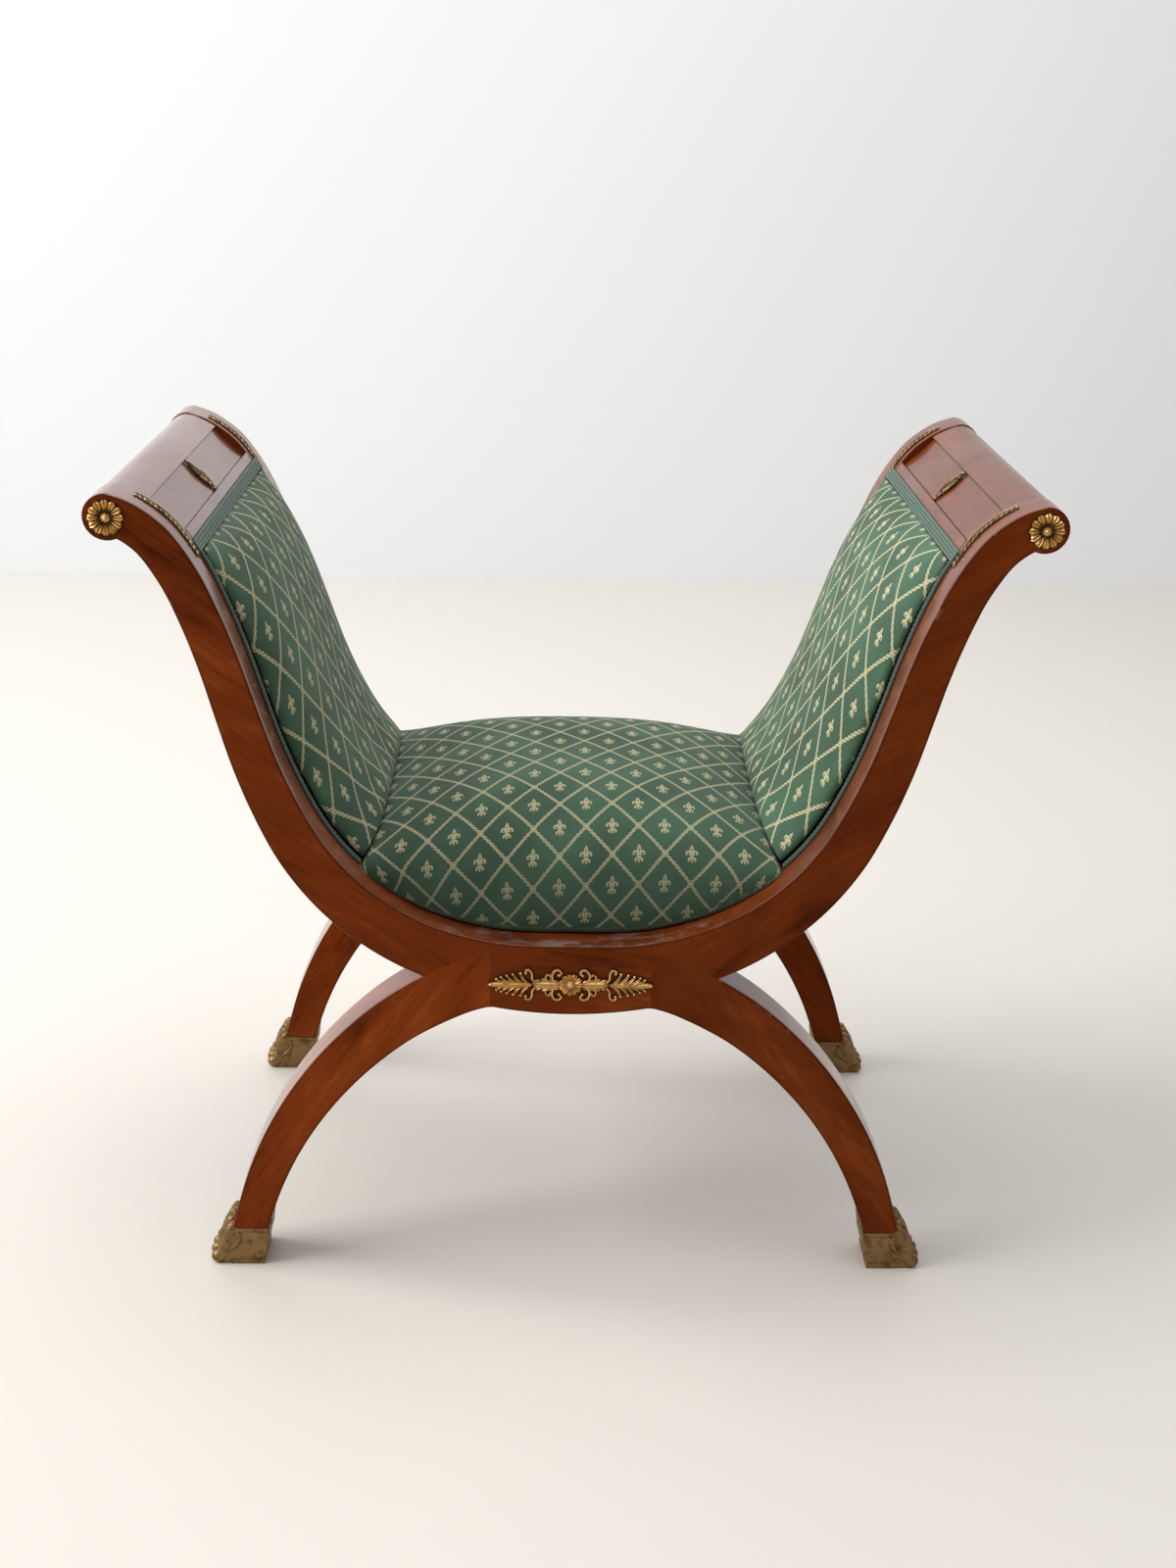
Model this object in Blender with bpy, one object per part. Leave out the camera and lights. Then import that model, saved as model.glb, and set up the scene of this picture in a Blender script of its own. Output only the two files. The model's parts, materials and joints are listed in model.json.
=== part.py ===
"""Curule bench: two X-shaped mahogany frames, joined by scrolled crests, rails and upholstery.

World axes: X runs along the bench, Y away from its front, Z up. The floor is z = 0.
Outlines of the frames are worked out for the right half and mirrored to the left.
"""

import math

import bmesh
import bpy
import numpy as np

# Overall sizes of the two frames
SPAN = 0.760
HEIGHT = 0.688
DEPTH = 0.396
MEMBER_THICKNESS = 0.040

# Fits between pieces
GAP = 0.0003
SOFT_GAP = 0.0006
LEAST_FACET = 0.0025

# Arms
SCROLL_RADIUS = 0.0185
ARM_WIDTH_TOP = 0.0305
ARM_WIDTH_ROOT = 0.0480
ARM_TAIL_HEIGHT = 0.0095
ARM_TAPER_POWER = 1.6
ARRIS = 0.0009

# Legs
LEG_WIDTH_FOOT = 0.0285

# Centre block of each frame
BLOCK_HALF_WIDTH = 0.0675
APRON_DROP = 0.0065

# Inner edge of the arm, from the middle of the seat up to the scroll, as shares of the half
# span and of the height
ARM_EDGE_SHARES = (
    (0.000, 0.4535),
    (0.150, 0.4560),
    (0.279, 0.4730),
    (0.379, 0.5000),
    (0.465, 0.5370),
    (0.536, 0.5840),
    (0.588, 0.6370),
    (0.630, 0.6930),
    (0.664, 0.7510),
    (0.697, 0.8100),
    (0.735, 0.8670),
    (0.782, 0.9220),
    (0.850, 0.9710),
)

# Inner edge of the leg, from its tip inside the sabot up to the centre block, in the same shares
LEG_EDGE_SHARES = (
    (0.7060, 0.0200),
    (0.6890, 0.0560),
    (0.6460, 0.1220),
    (0.5930, 0.1800),
    (0.5250, 0.2345),
    (0.4430, 0.2840),
    (0.3485, 0.3265),
    (0.2410, 0.3590),
    (0.1710, 0.3720),
    (0.1000, 0.3810),
)

# Dowels between legs and centre block
DOWEL_RADIUS = 0.0050
DOWEL_LENGTH = 0.044
DOWEL_SIDES = 12
DOWEL_END_PLAY = 0.001

# Crest of each arm, measured along the arm's inner edge from the top of the scroll
PANEL_CLEARANCE = 0.0015
ROLL_INSET = 0.0010
PANEL_LENGTH = 0.0370
PANEL_INSET = 0.0040
PANEL_THICKNESS = 0.0080
CREST_RAIL_WIDTH = 0.0200
CREST_RAIL_THICKNESS = 0.0160

# Upholstery support, as depths below the frames' inner edge
PAD_SEAT_DEPTH = 0.0020
WEB_THICKNESS = 0.0014
WEB_WIDTH = 0.048
LEDGER_HEIGHT = 0.0080
LEDGER_THICKNESS = 0.0120
SEAT_WEBS = 5
SEAT_WEB_SPACING = 0.058
ARM_WEBS = 3
ARM_WEB_FIRST = 0.118
ARM_WEB_SPACING = 0.075

# Rails between the frames, with tenons
SIDE_RAIL_COVER_GAP = 0.0040
SIDE_RAIL_WIDTH = 0.0340
SIDE_RAIL_FROM_JOINT = 0.105
CENTRE_RAIL_THICKNESS = 0.0260
CENTRE_RAIL_WIDTH = 0.0400
CENTRE_RAIL_DEPTH = 0.0220
TENON_LENGTH = 0.0140
TENON_SHOULDER = 0.0050

# Covers
COVER_THICKNESS = 0.0025
OUTER_COVER_INSET = 0.0012
OUTER_COVER_START = 0.052
BOTTOM_COVER_DEPTH = 0.0135

# Pads
ARM_PAD_CROWN = 0.0295
ARM_PAD_TOP = 0.0035
ARM_PAD_EDGE_SHARE = 0.22
ARM_PAD_POWERS = (3.2, 2.1)
SEAT_JOINT_FROM_MIDDLE = 0.191
SEAT_JOINT_LEAN = 0.0120
SEAT_JOINT_RISE = 0.0165
SEAT_CROWN_RISE = 0.106
SEAT_CROWN_POWER = 2.7
SEAT_PAD_EDGE_SHARE = 0.07
SEAT_PAD_POWERS = (4.0, 2.3)
SEAT_OVERHANG = 0.0155
PAD_ALONG = 22
PAD_ACROSS = 14

# Green braid at the top of each arm pad
BRAID_WIDTH = 0.0110
BRAID_THICKNESS = 0.0022
BRAID_ON_FRAME = 0.0080
BRAID_ALONG = 20
BRAID_END_CLEARANCE = 0.0025

# Gilt mounts
ROSETTE_RADIUS = 0.0148
ROSETTE_HEIGHT = 0.0042
ROSETTE_PETALS = 12
ROSETTE_NOTCH_SHARE = 0.09
ROSETTE_VALLEY_SHARE = 0.35
ROSETTE_PROFILE_SHARES = ((1, 0), (1, 0.42), (0.84, 0.80), (0.50, 0.62), (0.26, 1.0))
RELIEF_SECTION_SHARES = (-1, -0.55, 0, 0.55, 1)
RELIEF_EDGE_SHARE = 0.35
ORNAMENT_LENGTH = 0.140
ORNAMENT_HALF_HEIGHT = 0.0150
ORNAMENT_THICKNESS = 0.0045
ORNAMENT_DEPTH = 0.0345
LEAF_LENGTH = 0.034
LEAF_HALF_WIDTH = 0.0085
LEAF_THICKNESS = 0.0040
GARLAND_START = 0.018
GARLAND_LENGTH = 0.068
GARLAND_FROM_FACE = 0.0270
GARLAND_HALF_WIDTH = 0.0044
GARLAND_THICKNESS = 0.0024
GARLAND_LEAVES = 7

# Sabots: cast feet with a lion's paw
SABOT_HEIGHT = 0.0360
SABOT_WALL = 0.0014
SABOT_LEAF = 0.0070
PAW_LENGTH = 0.0175
PAW_TOES = 4
SABOT_SPREAD = 6
SABOT_LEAN_SHARE = 0.8
SABOT_ROUND_SHARE = 0.06
SHOULDER_SHARE = 0.30
KNUCKLE_SHARE = 0.20

# Sections of a sabot: place (from -1 at the heel over 0 at the rim to 1 at the toes), height,
# leaf tip and width
SABOT_PROFILE_SHARES = (
    (-1.00, 1.00, 0.8, 1.00),
    (-0.97, 1.00, 1.0, 1.00),
    (-0.96, 1.00, 0.0, 1.00),
    (-0.04, 1.00, 0.0, 1.00),
    (-0.03, 1.00, 1.0, 1.00),
    (0.00, 0.98, 0.8, 1.00),
    (0.10, 0.72, 0.0, 0.99),
    (0.30, 0.64, 0.0, 1.00),
    (0.50, 0.55, 0.0, 1.02),
    (0.70, 0.46, 0.0, 1.02),
    (0.86, 0.35, 0.0, 1.00),
    (0.96, 0.23, 0.0, 0.97),
    (1.00, 0.12, 0.0, 0.92),
)

HALF = SPAN / 2
INNER_Y = DEPTH / 2 - MEMBER_THICKNESS
SCROLL_CENTRE = np.array([HALF - SCROLL_RADIUS, HEIGHT - SCROLL_RADIUS])
SIDES = (("left", -1), ("right", 1))


def clear_scene():
    for obj in list(bpy.data.objects):
        bpy.data.objects.remove(obj)


def material(name, colour, roughness, metallic=0.0):
    made = bpy.data.materials.new(name)
    made.use_nodes = True
    shader = made.node_tree.nodes["Principled BSDF"]
    shader.inputs["Base Color"].default_value = (*colour, 1.0)
    shader.inputs["Roughness"].default_value = roughness
    shader.inputs["Metallic"].default_value = metallic
    return made


def smooth_line(points, before, after, steps=8):
    """Points of a Catmull-Rom curve through the given ones, led in and out by two more."""
    knots = np.array([before, *points, after])
    t = np.linspace(0, 1, steps, endpoint=False)[:, None]
    line = []
    for a, b, c, d in zip(knots, knots[1:], knots[2:], knots[3:]):
        bend = 2 * b + (c - a) * t + (2 * a - 5 * b + 4 * c - d) * t**2
        line.append((bend + (3 * b - a - 3 * c + d) * t**3) / 2)
    return np.vstack([*line, knots[-2]])


class Edge:
    """A smooth line in the plane of a frame, read by its length from its start.

    side is 1 where the wood lies to the left of the way the line runs, and -1 to its right.
    """

    def __init__(self, points, side):
        self.points = np.array(points)
        steps = np.linalg.norm(np.diff(self.points, axis=0), axis=1)
        self.at = np.concatenate([[0], np.cumsum(steps)])
        self.length = self.at[-1]
        self.side = side

    def point(self, s):
        return np.array([np.interp(s, self.at, self.points[:, axis]) for axis in (0, 1)])

    def normal(self, s):
        reach = self.length / 200
        along = self.point(min(s + reach, self.length)) - self.point(max(s - reach, 0))
        along /= np.linalg.norm(along)
        return np.array([-along[1], along[0]]) * self.side

    def inset(self, s, depth):
        return self.point(s) + self.normal(s) * depth

    def where_x(self, x):
        """Length at which the line, running towards the middle, comes to this x."""
        return float(np.interp(-x, -self.points[:, 0], self.at))


def arm_edge():
    """Inner edge of the arm, from the top of the scroll down to the middle of the seat."""
    points = [(x * HALF, z * HEIGHT) for x, z in ARM_EDGE_SHARES]
    top = (SCROLL_CENTRE[0], HEIGHT)
    beyond = (SCROLL_CENTRE[0] + 2 * SCROLL_RADIUS, HEIGHT - SCROLL_RADIUS / 2)
    mirrored = (-points[1][0], points[1][1])
    line = smooth_line([*points, top], mirrored, beyond)
    return Edge(line[::-1], 1)


def leg_edge():
    """Inner edge of the leg, from its tip up past the centre block's side."""
    points = [(x * HALF, z * HEIGHT) for x, z in LEG_EDGE_SHARES]
    first, second = np.array(points[0]), np.array(points[1])
    before = 2 * first - second
    after = 2 * np.array(points[-1]) - np.array(points[-2])
    return Edge(smooth_line(points, before, after), -1)


ARM = arm_edge()
LEG = leg_edge()
JOINT_S = ARM.where_x(BLOCK_HALF_WIDTH + GAP)
MIDDLE_S = ARM.length


def panel_start():
    """Length of the arm's edge at which the crest panel's underside has left the scroll's round."""
    for s in np.linspace(0, ARM.length / 2, 600):
        corner = ARM.inset(s, PANEL_INSET + PANEL_THICKNESS)
        if np.linalg.norm(corner - SCROLL_CENTRE) > SCROLL_RADIUS + PANEL_CLEARANCE:
            return s
    raise ValueError("the crest panel never leaves the scroll")


PANEL_START = panel_start()


def arm_width(s):
    return ARM_WIDTH_TOP + (ARM_WIDTH_ROOT - ARM_WIDTH_TOP) * (s / JOINT_S) ** ARM_TAPER_POWER


def leg_root():
    """Length of the leg's edge at the centre block, and the leg's width there, under the arm's tail."""
    root = LEG.where_x(BLOCK_HALF_WIDTH)
    room = ARM.point(ARM.where_x(BLOCK_HALF_WIDTH))[1] - LEG.point(root)[1]
    return root, (room - ARM_TAIL_HEIGHT) * LEG.normal(root)[1]


LEG_ROOT, LEG_ROOT_WIDTH = leg_root()


def leg_width(s):
    return LEG_WIDTH_FOOT + (LEG_ROOT_WIDTH - LEG_WIDTH_FOOT) * s / LEG_ROOT


def crossing(first, second):
    """(index in first, index in second, point) where two lines of points cross."""
    for i, (a, b) in enumerate(zip(first, first[1:])):
        for j, (c, d) in enumerate(zip(second, second[1:])):
            along, across = b - a, d - c
            turn = along[0] * across[1] - along[1] * across[0]
            if not turn:
                continue
            t = ((c - a)[0] * across[1] - (c - a)[1] * across[0]) / turn
            u = ((c - a)[0] * along[1] - (c - a)[1] * along[0]) / turn
            if 0 <= t < 1 and 0 <= u < 1:
                return i, j, a + along * t
    raise ValueError("the two lines don't cross")


def run_between(start, points, end):
    """The points from start to end, without those so close to an end that a facet would be tiny."""
    kept = [p for p in points if min(np.linalg.norm(p - start), np.linalg.norm(p - end)) > LEAST_FACET]
    return [start, *kept, end]


def vertical(x):
    return [np.array([x, 0.0]), np.array([x, 2 * HEIGHT])]


def leg_outer(clearance, stations):
    return [LEG.inset(s, leg_width(s) + clearance) for s in stations]


def arm_outline():
    """Outline of the right arm, and the numbers of the segments that are joints."""
    joint_x = BLOCK_HALF_WIDTH + GAP
    inner = [ARM.point(s) for s in np.linspace(JOINT_S, 0, 30)]
    outer = [ARM.inset(s, arm_width(s)) for s in np.linspace(SCROLL_RADIUS, JOINT_S, 36)]
    outside = [np.linalg.norm(p - SCROLL_CENTRE) > SCROLL_RADIUS for p in outer]
    start = len(outside) - 1 - outside[::-1].index(False) if False in outside else 0
    a, b = outer[start], outer[start + 1]
    low, high = 0.0, 1.0
    for _ in range(30):
        middle = (low + high) / 2
        inside = np.linalg.norm(a + (b - a) * middle - SCROLL_CENTRE) < SCROLL_RADIUS
        low, high = (middle, high) if inside else (low, middle)
    corner = a + (b - a) * high
    turn = math.atan2(*(corner - SCROLL_CENTRE)[::-1]) % math.tau - math.tau
    arc = []
    for angle in np.linspace(math.pi / 2, turn, 16)[1:-1]:
        arc.append(SCROLL_CENTRE + SCROLL_RADIUS * np.array([math.cos(angle), math.sin(angle)]))
    outer = [corner, *outer[start + 1:]]
    seam = leg_outer(GAP, np.linspace(LEG.length / 2, LEG.length, 20))
    i, j, notch = crossing(outer, seam)
    k, _, end = crossing(seam, vertical(joint_x))
    lower = run_between(corner, outer[1: i + 1], notch)
    seam = run_between(notch, seam[j + 1: k + 1], end)[1:]
    outline = [*inner, *arc, *lower, *seam]
    first_seam = len(inner) + len(arc) + len(lower) - 1
    return outline, range(first_seam, len(outline))


def leg_outline():
    """Outline of the right leg, and the numbers of the segments that are joints."""
    joint_x = BLOCK_HALF_WIDTH + GAP
    stations = np.linspace(0, LEG.length, 36)
    inner = [LEG.point(s) for s in stations]
    outer = leg_outer(0, stations)
    i, _, low = crossing(inner, vertical(joint_x))
    k, _, high = crossing(outer, vertical(joint_x))
    arm_outer = [ARM.inset(s, arm_width(s)) for s in np.linspace(SCROLL_RADIUS, JOINT_S, 36)]
    _, notch, _ = crossing(arm_outer, outer)
    under = run_between(inner[0], inner[1: i + 1], low)
    covered = run_between(high, outer[k:notch:-1], outer[notch])
    outline = [*under, *covered, *outer[notch - 1::-1]]
    return outline, range(len(under) - 1, len(under) + len(covered) - 1)


def block_outline():
    """Outline of the centre block, and the numbers of the segments that are joints."""
    half = BLOCK_HALF_WIDTH
    right = [ARM.point(s) for s in np.linspace(ARM.where_x(half), MIDDLE_S, 7)]
    top = [*right, *[p * (-1, 1) for p in right[-2::-1]]]
    corner = LEG.point(LEG.where_x(half))[1]
    apron = []
    for x in np.linspace(-half, half, 13):
        apron.append(np.array([x, corner - APRON_DROP * (1 - (x / half) ** 2)]))
    outline = [*top, *apron]
    return outline, (len(top) - 1, len(outline) - 1)


def mirrored(outline, sign):
    return [p * (sign, 1) for p in outline]


def make(name, mesh, finish):
    mesh.materials.append(finish)
    obj = bpy.data.objects.new(name, mesh)
    bpy.context.scene.collection.objects.link(obj)
    return obj


def mesh_of(name, verts, faces):
    """A mesh with its faces turned outwards."""
    made = bmesh.new()
    corners = [made.verts.new(tuple(float(c) for c in v)) for v in verts]
    for face in faces:
        made.faces.new([corners[i] for i in face])
    bmesh.ops.recalc_face_normals(made, faces=made.faces)
    mesh = bpy.data.meshes.new(name)
    made.to_mesh(mesh)
    made.free()
    return mesh


def loft(name, rings, finish):
    """A closed body through rings of points, capped at both ends."""
    n = len(rings[0])
    faces = [tuple(range(n)), tuple(range((len(rings) - 1) * n, len(rings) * n))]
    for r in range(len(rings) - 1):
        for c in range(n):
            a, b = r * n + c, r * n + (c + 1) % n
            faces.append((a, b, b + n, a + n))
    return make(name, mesh_of(name, [p for ring in rings for p in ring], faces), finish)


def plate(name, outline, low_y, high_y, finish, chamfer=0.0, joints=()):
    """An outline in X and Z, extruded along Y, with its long edges eased except at joints."""
    n = len(outline)
    verts = [(p[0], y, p[1]) for y in (low_y, high_y) for p in outline]
    sides = [(i, (i + 1) % n, n + (i + 1) % n, n + i) for i in range(n)]
    mesh = mesh_of(name, verts, [tuple(range(n)), tuple(range(n, 2 * n)), *sides])
    obj = make(name, mesh, finish)
    if chamfer:
        free = [i for i in range(n) if i not in joints]
        eased = {frozenset((i + k, (i + 1) % n + k)) for i in free for k in (0, n)}
        weights = mesh.attributes.new("bevel_weight_edge", "FLOAT", "EDGE")
        for edge in mesh.edges:
            weights.data[edge.index].value = float(frozenset(edge.vertices) in eased)
        bevel = obj.modifiers.new("arris", "BEVEL")
        bevel.limit_method = "WEIGHT"
        bevel.width = chamfer
        bevel.segments = 1
        bevel.use_clamp_overlap = True
    return obj


def cutter(obj):
    obj.hide_render = True
    obj.display_type = "WIRE"
    return obj


def boolean(obj, other, operation):
    cut = obj.modifiers.new(operation.lower(), "BOOLEAN")
    cut.operation = operation
    cut.solver = "EXACT"
    cut.object = other


def band_outline(start, end, low, high, steps):
    """Outline between two depths below the arm's inner edge, over a stretch of its length."""
    stations = np.linspace(start, end, steps)
    upper = [ARM.inset(s, low(s) if callable(low) else low) for s in stations]
    under = [ARM.inset(s, high(s) if callable(high) else high) for s in stations]
    return [*upper, *under[::-1]]


def across(outline):
    """A line that ends in the middle of the bench, carried on to the left half."""
    half = len(outline) // 2
    upper, under = outline[:half], outline[half:][::-1]
    left_upper = [p * (-1, 1) for p in upper[-2::-1]]
    left_under = [p * (-1, 1) for p in under[-2::-1]]
    return [*upper, *left_upper, *[*under, *left_under][::-1]]


def frames(wood):
    """Arms, legs and centre block of the front and the back frame."""
    made = {}
    places = (("front", -DEPTH / 2), ("back", DEPTH / 2 - MEMBER_THICKNESS))
    for place, low_y in places:
        high_y = low_y + MEMBER_THICKNESS
        for piece, outline_of in (("arm", arm_outline), ("leg", leg_outline)):
            outline, joints = outline_of()
            for side, sign in SIDES:
                name = f"{place}_{piece}_{side}"
                shape = mirrored(outline, sign)
                made[name] = plate(name, shape, low_y, high_y, wood, ARRIS, joints)
        outline, joints = block_outline()
        name = f"{place}_centre_block"
        made[name] = plate(name, outline, low_y, high_y, wood, ARRIS, joints)
    return made


def cylinder(name, start, end, radius, sides):
    """A closed cylinder between two points that differ along one axis."""
    start, end = np.array(start), np.array(end)
    axis = int(np.argmax(np.abs(end - start)))
    others = [a for a in range(3) if a != axis]
    verts = []
    for centre in (start, end):
        for k in range(sides):
            spot = centre.copy()
            spot[others[0]] += radius * math.cos(math.tau * k / sides)
            spot[others[1]] += radius * math.sin(math.tau * k / sides)
            verts.append(spot)
    walls = [(k, (k + 1) % sides, sides + (k + 1) % sides, sides + k) for k in range(sides)]
    ends = [tuple(range(sides)), tuple(range(sides, 2 * sides))]
    return mesh_of(name, verts, [*ends, *walls])


def dowels(pieces, wood):
    """Round dowels that pin each leg to its centre block."""
    height = LEG.inset(LEG_ROOT, LEG_ROOT_WIDTH / 2)[1]
    for place, sign_y in (("front", -1), ("back", 1)):
        y = sign_y * (DEPTH - MEMBER_THICKNESS) / 2
        for side, sign in SIDES:
            middle = sign * BLOCK_HALF_WIDTH
            reach = DOWEL_LENGTH / 2
            ends = [(middle - reach, y, height), (middle + reach, y, height)]
            name = f"{place}_dowel_{side}"
            make(name, cylinder(name, *ends, DOWEL_RADIUS, DOWEL_SIDES), wood)
            reach += DOWEL_END_PLAY
            ends = [(middle - reach, y, height), (middle + reach, y, height)]
            hole = cylinder(name + "_hole", *ends, DOWEL_RADIUS + GAP, DOWEL_SIDES)
            hole = cutter(make(name + "_hole", hole, wood))
            boolean(pieces[f"{place}_leg_{side}"], hole, "DIFFERENCE")
            boolean(pieces[f"{place}_centre_block"], hole, "DIFFERENCE")


def rail(name, outline, shoulder_outline, hole_outline, frame_pieces, wood):
    """A rail between the frames whose tenons sit in mortises in their inner faces."""
    made = plate(name, outline, GAP - INNER_Y, INNER_Y - GAP, wood)
    reach = INNER_Y + TENON_LENGTH
    tenon = cutter(plate(name + "_tenon", shoulder_outline, -reach, reach, wood))
    boolean(made, tenon, "UNION")
    reach += GAP
    hole = cutter(plate(name + "_mortise", hole_outline, -reach, reach, wood))
    for piece in frame_pieces:
        boolean(piece, hole, "DIFFERENCE")


def cover_depth(s):
    """Depth of the outer cover's inner face below the arm's inner edge."""
    return arm_width(s) - OUTER_COVER_INSET - COVER_THICKNESS


def rails(pieces, wood):
    """Two side rails under the ends of the seat, and one between the centre blocks."""
    start = JOINT_S - SIDE_RAIL_FROM_JOINT - SIDE_RAIL_WIDTH / 2
    end = start + SIDE_RAIL_WIDTH
    top = PAD_SEAT_DEPTH + WEB_THICKNESS + LEDGER_HEIGHT + 4 * GAP
    shoulder = TENON_SHOULDER
    room = shoulder - GAP
    whole, tenon, mortise = [
        band_outline(
            start + trim,
            end - trim,
            top + trim,
            lambda s: cover_depth(s) - SIDE_RAIL_COVER_GAP - trim,
            5,
        )
        for trim in (0, shoulder, room)
    ]
    for side, sign in SIDES:
        shapes = [mirrored(shape, sign) for shape in (whole, tenon, mortise)]
        hosts = [pieces[f"{place}_arm_{side}"] for place in ("front", "back")]
        rail(f"side_rail_{side}", *shapes, hosts, wood)
    half = CENTRE_RAIL_WIDTH / 2
    low_z = ARM.point(MIDDLE_S)[1] - CENTRE_RAIL_DEPTH - CENTRE_RAIL_THICKNESS
    shapes = []
    for trim in (0, shoulder, room):
        shapes.append(rectangle(half - trim, low_z + trim, low_z + CENTRE_RAIL_THICKNESS - trim))
    hosts = [pieces[f"{place}_centre_block"] for place in ("front", "back")]
    rail("centre_rail", *shapes, hosts, wood)


def rectangle(half_width, low_z, high_z):
    corners = [(-half_width, low_z), (half_width, low_z), (half_width, high_z), (-half_width, high_z)]
    return [np.array(corner) for corner in corners]


def crests(wood):
    """Roll, sunk panel and rail that close the top of each arm between the frames."""
    reach = INNER_Y - GAP
    radius = SCROLL_RADIUS - ROLL_INSET
    tail = [ARM.inset(s, ROLL_INSET) for s in np.linspace(PANEL_START - GAP, 0, 6)]
    heel = ARM.inset(PANEL_START - GAP, PANEL_INSET + PANEL_THICKNESS)
    away = heel - SCROLL_CENTRE
    tangent = math.atan2(away[1], away[0]) + math.acos(radius / np.linalg.norm(away))
    arc = []
    for angle in np.linspace(math.pi / 2, tangent % math.tau - math.tau, 24)[1:]:
        arc.append(SCROLL_CENTRE + radius * np.array([math.cos(angle), math.sin(angle)]))
    roll = [*tail, *arc, heel]
    panel_end = PANEL_START + PANEL_LENGTH
    panel = band_outline(
        PANEL_START, panel_end - 2 * GAP, PANEL_INSET, PANEL_INSET + PANEL_THICKNESS, 2
    )
    rail_end = panel_end + CREST_RAIL_WIDTH
    crest_rail = band_outline(panel_end, rail_end, 0, CREST_RAIL_THICKNESS, 4)
    for side, sign in SIDES:
        for name, outline in (("roll", roll), ("panel", panel), ("rail", crest_rail)):
            name = f"crest_{name}_{side}"
            plate(name, mirrored(outline, sign), -reach, reach, wood)
    return rail_end


def supports(crest_end, beech, jute):
    """Ledgers on the frames' inner faces, and the webbing straps that they carry."""
    top = PAD_SEAT_DEPTH + WEB_THICKNESS + 2 * GAP
    half = band_outline(crest_end + GAP, MIDDLE_S, top, top + LEDGER_HEIGHT, 40)
    ledger = across(half)
    for place, low_y in (("front", GAP - INNER_Y), ("back", INNER_Y - GAP - LEDGER_THICKNESS)):
        plate(f"{place}_ledger", ledger, low_y, low_y + LEDGER_THICKNESS, beech)
    low, high = PAD_SEAT_DEPTH + GAP, PAD_SEAT_DEPTH + GAP + WEB_THICKNESS
    reach = INNER_Y - GAP
    middle = (SEAT_WEBS - 1) / 2
    for k in range(SEAT_WEBS):
        away = abs(k - middle) * SEAT_WEB_SPACING
        if away:
            centre = MIDDLE_S - away
            web = band_outline(centre - WEB_WIDTH / 2, centre + WEB_WIDTH / 2, low, high, 5)
            web = mirrored(web, 1 if k > middle else -1)
        else:
            web = across(band_outline(MIDDLE_S - WEB_WIDTH / 2, MIDDLE_S, low, high, 4))
        plate(f"seat_web_{k + 1}", web, -reach, reach, jute)
    for side, sign in SIDES:
        for k in range(ARM_WEBS):
            centre = ARM_WEB_FIRST + k * ARM_WEB_SPACING
            web = band_outline(centre - WEB_WIDTH / 2, centre + WEB_WIDTH / 2, low, high, 5)
            plate(f"arm_web_{side}_{k + 1}", mirrored(web, sign), -reach, reach, jute)


def covers(fabric, cloth):
    """Fabric on the outside of each arm, and the dust cover under the seat."""
    reach = INNER_Y - SOFT_GAP
    end = JOINT_S - SIDE_RAIL_FROM_JOINT + SIDE_RAIL_WIDTH / 2

    outline = band_outline(
        OUTER_COVER_START, end, cover_depth, lambda s: cover_depth(s) + COVER_THICKNESS, 22
    )
    for side, sign in SIDES:
        plate(f"outer_cover_{side}", mirrored(outline, sign), -reach, reach, fabric)
    low = BOTTOM_COVER_DEPTH
    half = band_outline(end + SOFT_GAP, MIDDLE_S, low, low + COVER_THICKNESS, 12)
    plate("bottom_cover", across(half), -reach, reach, cloth)


def crown(v, edge, powers):
    """Height of a pad's section across Y, as a share, from 1 in the middle to edge at its sides."""
    return edge + (1 - edge) * (1 - abs(v) ** powers[0]) ** (1 / powers[1])


def pad(name, bottom, top, edge, powers, finish, lips=None):
    """A crowned pad between two lines of points, drawn down to its edges at front and back.

    Where it has lips, a line of points just over the frames, it laps onto the frames' edges.
    """
    inner = INNER_Y - SOFT_GAP
    outer = INNER_Y + SEAT_OVERHANG if lips else inner
    spread = [math.sin(math.pi / 2 * v) for v in np.linspace(-1, 1, PAD_ACROSS + 1)]
    rings = []
    for i, (low, high) in enumerate(zip(bottom, top)):
        ring = [low + (high - low) * crown(v, edge, powers) for v in spread]
        ring = [(p[0], v * outer, p[1]) for p, v in zip(ring, spread)]
        under = [(outer, lips[i]), (inner, lips[i])] if lips else []
        under = [*under, (inner, low)]
        ring.extend((p[0], y, p[1]) for y, p in under)
        ring.extend((p[0], -y, p[1]) for y, p in under[::-1])
        rings.append(ring)
    return loft(name, rings, finish)


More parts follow.
